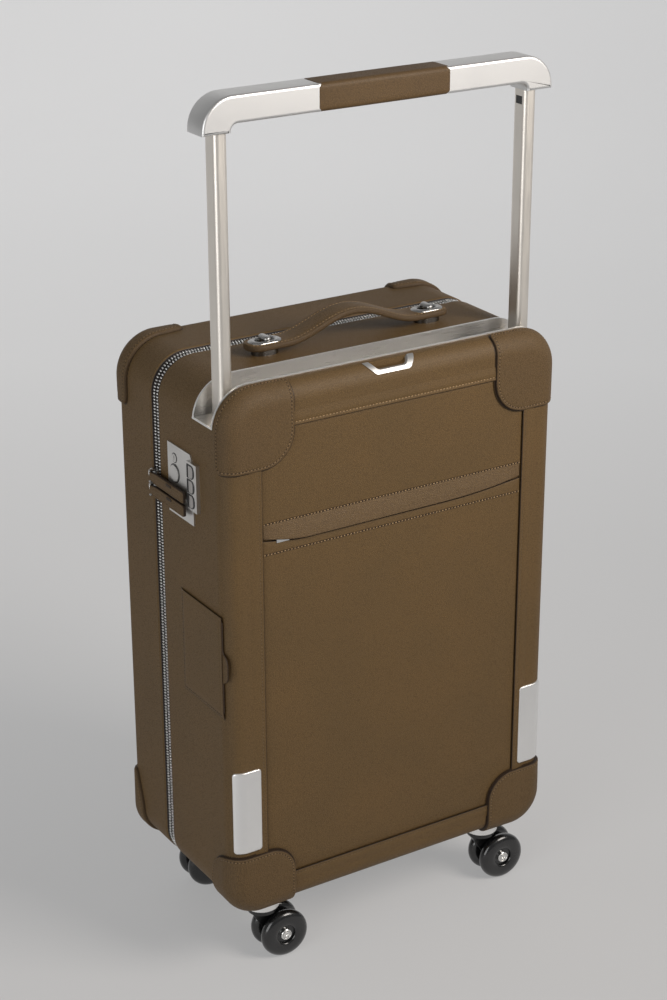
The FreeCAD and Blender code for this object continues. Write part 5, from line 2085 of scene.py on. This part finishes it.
@dataclass
class Lining(SubAssembly):
    """Cloth inside both halves, and the board behind it that covers the trolley's tubes."""

    gap: float = 4.3
    thickness: float = 1.0
    case_floor: float = -38.75
    lid_floor: float = 86.75
    ripple: float = 0.5
    waves: Pair = (0.83, 0.19)
    lock_back: float = -151.4
    lock_edge: float = 0.5
    lock_z: float = 458.5
    lock_half: float = 21.0
    lock_side: float = -150.0
    ease: float = 8.0
    innermost: float = 0.02

    def build(self) -> None:
        """Builds and dresses the lining."""
        self.dress(BOARD, "trolley_cover")
        self._skin("case_cloth", "case", "case_lining", FORM.zip_y - FORM.zip_half, self.case_floor)
        self._skin("lid_cloth", "lid", "lid_lining", FORM.zip_y + FORM.zip_half, self.lid_floor)

    def _row(self, inset: float, y: float, sway: float) -> Array:
        """One turn of the cloth round the room, drawn in over the back of the lock.

        Args:
            inset: Its distance inside the case's outline.
            y: Its place in depth.
            sway: How far it ripples inwards.

        Returns:
            Points of the row.
        """
        ring = FORM.loop(inset, 10, 44)
        inward = FORM.loop(inset + 1.0, 10, 44) - ring
        count = np.arange(len(ring))
        waves = 0.5 + 0.5 * np.sin(count * self.waves[0]) * np.cos(count * self.waves[1])
        ring = ring + inward * (sway * waves)[:, None]
        if y < FORM.zip_y:
            beside = np.clip(1.0 - (np.abs(ring[:, 1] - self.lock_z) - self.lock_half) / self.ease, 0.0, 1.0)
            above = min(max(1.0 - (y - self.lock_edge) / self.ease, 0.0), 1.0)
            room = beside * beside * (3 - 2 * beside) * above * above * (3 - 2 * above)
            room *= ring[:, 0] < self.lock_side
            ring[:, 0] += (self.lock_back + inset - self.gap - ring[:, 0]) * room
        return upright(ring, y)

    def _skin(self, name: str, body: str, node: str, rim_y: float, floor_y: float) -> None:
        """Cloth of one half, a closed shell from its rim over the walls to its floor.

        Args:
            name: The piece's name.
            body: The body it rides on.
            node: The node it stands for.
            rim_y: Place of its rim in depth.
            floor_y: Place of its floor in depth.
        """
        depth = floor_y - rim_y
        inner_floor = floor_y - math.copysign(self.thickness, depth)
        down = np.linspace(1.0, 0.0, 9)
        outer = [self._row(self.gap, rim_y + depth * t, 0.0) for t in down]
        inner = [self._row(self.gap + self.thickness, rim_y + (inner_floor - rim_y) * t,
                           self.ripple * math.sin(math.pi * t)) for t in down[::-1]]
        shares = np.linspace(self.innermost, 1.0, 14)[:-1]
        floors = []
        for row in (outer[0], inner[-1]):
            centre = row.mean(axis=0)
            floors.append([centre + (row - centre) * share for share in shares])
        skin = loft([*floors[0], *outer, *inner, *reversed(floors[1])])
        self.settle(mesh_piece(name, skin, SOFT_FOLD), body, "lining_cloth", CLOTH, node)


@dataclass
class Casters(SubAssembly):
    """Four swivelling twin-wheel casters.

    The rows of a wheel and of a bolt are (distance from the wheel's inner or outer face, radius).
    """

    places: dict[str, Pair] = field(default_factory=lambda: {
        "front_left": (-120.0, -61.0), "front_right": (120.0, -61.0),
        "rear_left": (-120.0, 75.0), "rear_right": (120.0, 75.0)})
    turn: float = -3.0
    trail: float = 17.0
    radius: float = 22.5
    inner: float = 3.85
    outer: float = 15.85
    inner_rows: Pairs = (
        (0.0, 3.1), (0.0, 15.8), (0.25, 17.6), (0.9, 19.4), (2.0, 21.0), (3.6, 22.1), (5.6, 22.5))
    outer_rows: Pairs = (
        (5.6, 22.5), (3.6, 22.1), (2.0, 21.0), (0.9, 19.3), (0.3, 17.2), (0.0, 14.6), (0.1, 12.2),
        (0.4, 10.4), (0.9, 9.3), (1.8, 8.7), (3.4, 8.4), (3.6, 3.1))
    bolt_rows: Pairs = (
        (3.5, 3.0), (3.5, 5.2), (1.2, 5.2), (0.9, 4.9), (0.9, 4.1), (1.2, 3.9), (1.9, 3.8), (1.9, 3.3),
        (1.0, 3.0), (0.85, 2.7), (0.85, 1.4), (1.8, 1.3), (1.8, 0.0))

    def build(self) -> None:
        """Builds and dresses the casters."""
        self.dress(SATIN, "front_caster_caps", "rear_caster_caps")
        for name, (x, y) in self.places.items():
            self.dress(BLACK, f"caster_fork_{name}")
            self._wheels(name, x, y)

    def _wheels(self, name: str, x: float, y: float) -> None:
        """Both wheels of one caster and the axle with its bolts.

        Args:
            name: The caster's name.
            x: Its swivel's place across the case.
            y: Its swivel's place in depth.
        """
        angle, body = math.radians(self.turn), f"wheels_{name}"
        centre = (x + self.trail * math.cos(angle), y + self.trail * math.sin(angle), self.radius)
        axle = np.array((-math.sin(angle), math.cos(angle), 0.0))
        tyre = [(self.inner + along, size) for along, size in self.inner_rows]
        tyre += [(self.outer - along, size) for along, size in self.outer_rows]
        wheels = mesh_piece(body, joined(spun(tyre, centre, way, 56) for way in (axle, -axle)), sharp=45.0)
        self.settle(wheels, body, "wheel_black", TYRE, f"caster_wheels_{name}")
        bolt = [(self.outer - along, size) for along, size in self.bolt_rows]
        rod = [(-along, size) for along, size in reversed(bolt)] + bolt
        piece = mesh_piece(f"axle_{name}", spun(rod, centre, axle, 32), sharp=35.0)
        self.settle(piece, body, "bright_metal", BRIGHT, f"caster_axle_{name}")


@dataclass(frozen=True)
class Lamp:
    """A square soft lamp, in metres, watts and degrees."""

    name: str
    place: Point
    target: Point
    size: float
    power: float
    spread: float = 180.0
    colour: Colour = (1.0, 1.0, 1.0)

    def build(self) -> None:
        """Sets the lamp up in the scene."""
        data = bpy.data.lights.new(self.name, "AREA")
        data.color, data.shape, data.size = self.colour, "SQUARE", self.size
        data.energy, data.spread = self.power, math.radians(self.spread)
        lamp = bpy.data.objects.new(self.name, data)
        way = (Vector(self.target) - Vector(self.place)).to_track_quat("-Z", "Y")
        lamp.matrix_world = Matrix.Translation(self.place) @ way.to_matrix().to_4x4()
        bpy.context.scene.collection.objects.link(lamp)


@dataclass
class Studio:
    """Camera, lamps and pale sweep, in metres and degrees, with the lens in millimetres."""

    camera_at: Point = (-0.92607, -1.46921, 1.12178)
    azimuth: float = -32.09
    elevation: float = 22.73
    roll: float = -0.18
    lens: float = 77.0
    sensor: float = 36.0
    clip: Pair = (0.05, 50.0)
    sky: float = 0.225
    seen_sky: float = 0.58
    sweep_front: float = -6.0
    sweep_back: float = 3.2
    sweep_radius: float = 1.2
    sweep_height: float = 5.0
    sweep_half: float = 7.0
    sweep_steps: int = 24
    lamps: tuple[Lamp, ...] = (
        Lamp("key", (0.64, -1.15, 1.28), (0.0, 0.0, 0.70), 0.8, 8.0, 100.0, (1.0, 0.94, 0.88)),
        Lamp("backdrop", (1.2, 2.6, 2.4), (1.6, 4.2, 0.3), 1.6, 27.0),
        Lamp("fill", (-2.2, -1.0, 0.85), (0.0, 0.0, 0.35), 1.6, 21.5))

    def build(self) -> None:
        """Sets up the studio."""
        self._camera()
        self._sweep()
        self._sky()
        for lamp in self.lamps:
            lamp.build()
        bpy.context.scene.view_settings.view_transform = "Standard"

    def _camera(self) -> None:
        """Camera at the photograph's angle."""
        data = bpy.data.cameras.new("camera")
        data.lens, data.sensor_width = self.lens, self.sensor
        data.clip_start, data.clip_end = self.clip
        camera = bpy.data.objects.new("camera", data)
        a, e = math.radians(self.azimuth), math.radians(self.elevation)
        back = Vector((math.sin(a) * math.cos(e), -math.cos(a) * math.cos(e), math.sin(e)))
        turn = (-back).to_track_quat("-Z", "Y").to_matrix() @ Matrix.Rotation(math.radians(self.roll), 3, "Z")
        camera.matrix_world = Matrix.Translation(self.camera_at) @ turn.to_4x4()
        bpy.context.scene.collection.objects.link(camera)
        bpy.context.scene.camera = camera

    def _sweep(self) -> None:
        """Floor that curves up into the backdrop."""
        back, radius, half = self.sweep_back, self.sweep_radius, self.sweep_half
        bend = [(back + radius * math.sin(t), radius * (1 - math.cos(t)))
                for t in np.linspace(0, math.pi / 2, self.sweep_steps)]
        profile = [(self.sweep_front, 0.0), *bend, (back + radius, self.sweep_height)]
        points = [(x, y, z) for y, z in profile for x in (-half, half)]
        faces = [(2 * i, 2 * i + 1, 2 * i + 3, 2 * i + 2) for i in range(len(profile) - 1)]
        mesh = bpy.data.meshes.new("sweep")
        turn = Matrix.Rotation(math.radians(self.azimuth), 3, "Z")
        mesh.from_pydata([tuple(turn @ Vector(p)) for p in points], [], faces)
        mesh.polygons.foreach_set("use_smooth", [True] * len(mesh.polygons))
        mesh.materials.append(SHELF.get(SWEEP))
        sweep = bpy.data.objects.new("sweep", mesh)
        bpy.context.scene.collection.objects.link(sweep)

    def _sky(self) -> None:
        """A dim even sky that looks brighter to the camera than its light is."""
        world = bpy.data.worlds.new("sky")
        world.use_nodes = True
        sketch = NodeSketch(world.node_tree)
        background = world.node_tree.nodes["Background"].inputs
        sketch.feed(background["Color"], (1.0, 1.0, 1.0, 1.0))
        seen = sketch.add("ShaderNodeLightPath").outputs["Is Camera Ray"]
        sketch.feed(background["Strength"], sketch.spread(seen, 0.0, 1.0, self.sky, self.seen_sky))
        bpy.context.scene.world = world


def main() -> None:
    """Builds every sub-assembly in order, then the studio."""
    logging.basicConfig(level=logging.INFO, format="%(name)s: %(message)s")
    rows = RowMaker()
    for kind in (LeatherCase, CornerLeather, ZipFastening, TrolleyHandle, CarryHandle, SideLock, NameTag,
                 Lining, Casters):
        kind(rows).build()
    Studio().build()
    bpy.context.view_layer.update()


if __name__ == "__main__":
    main()
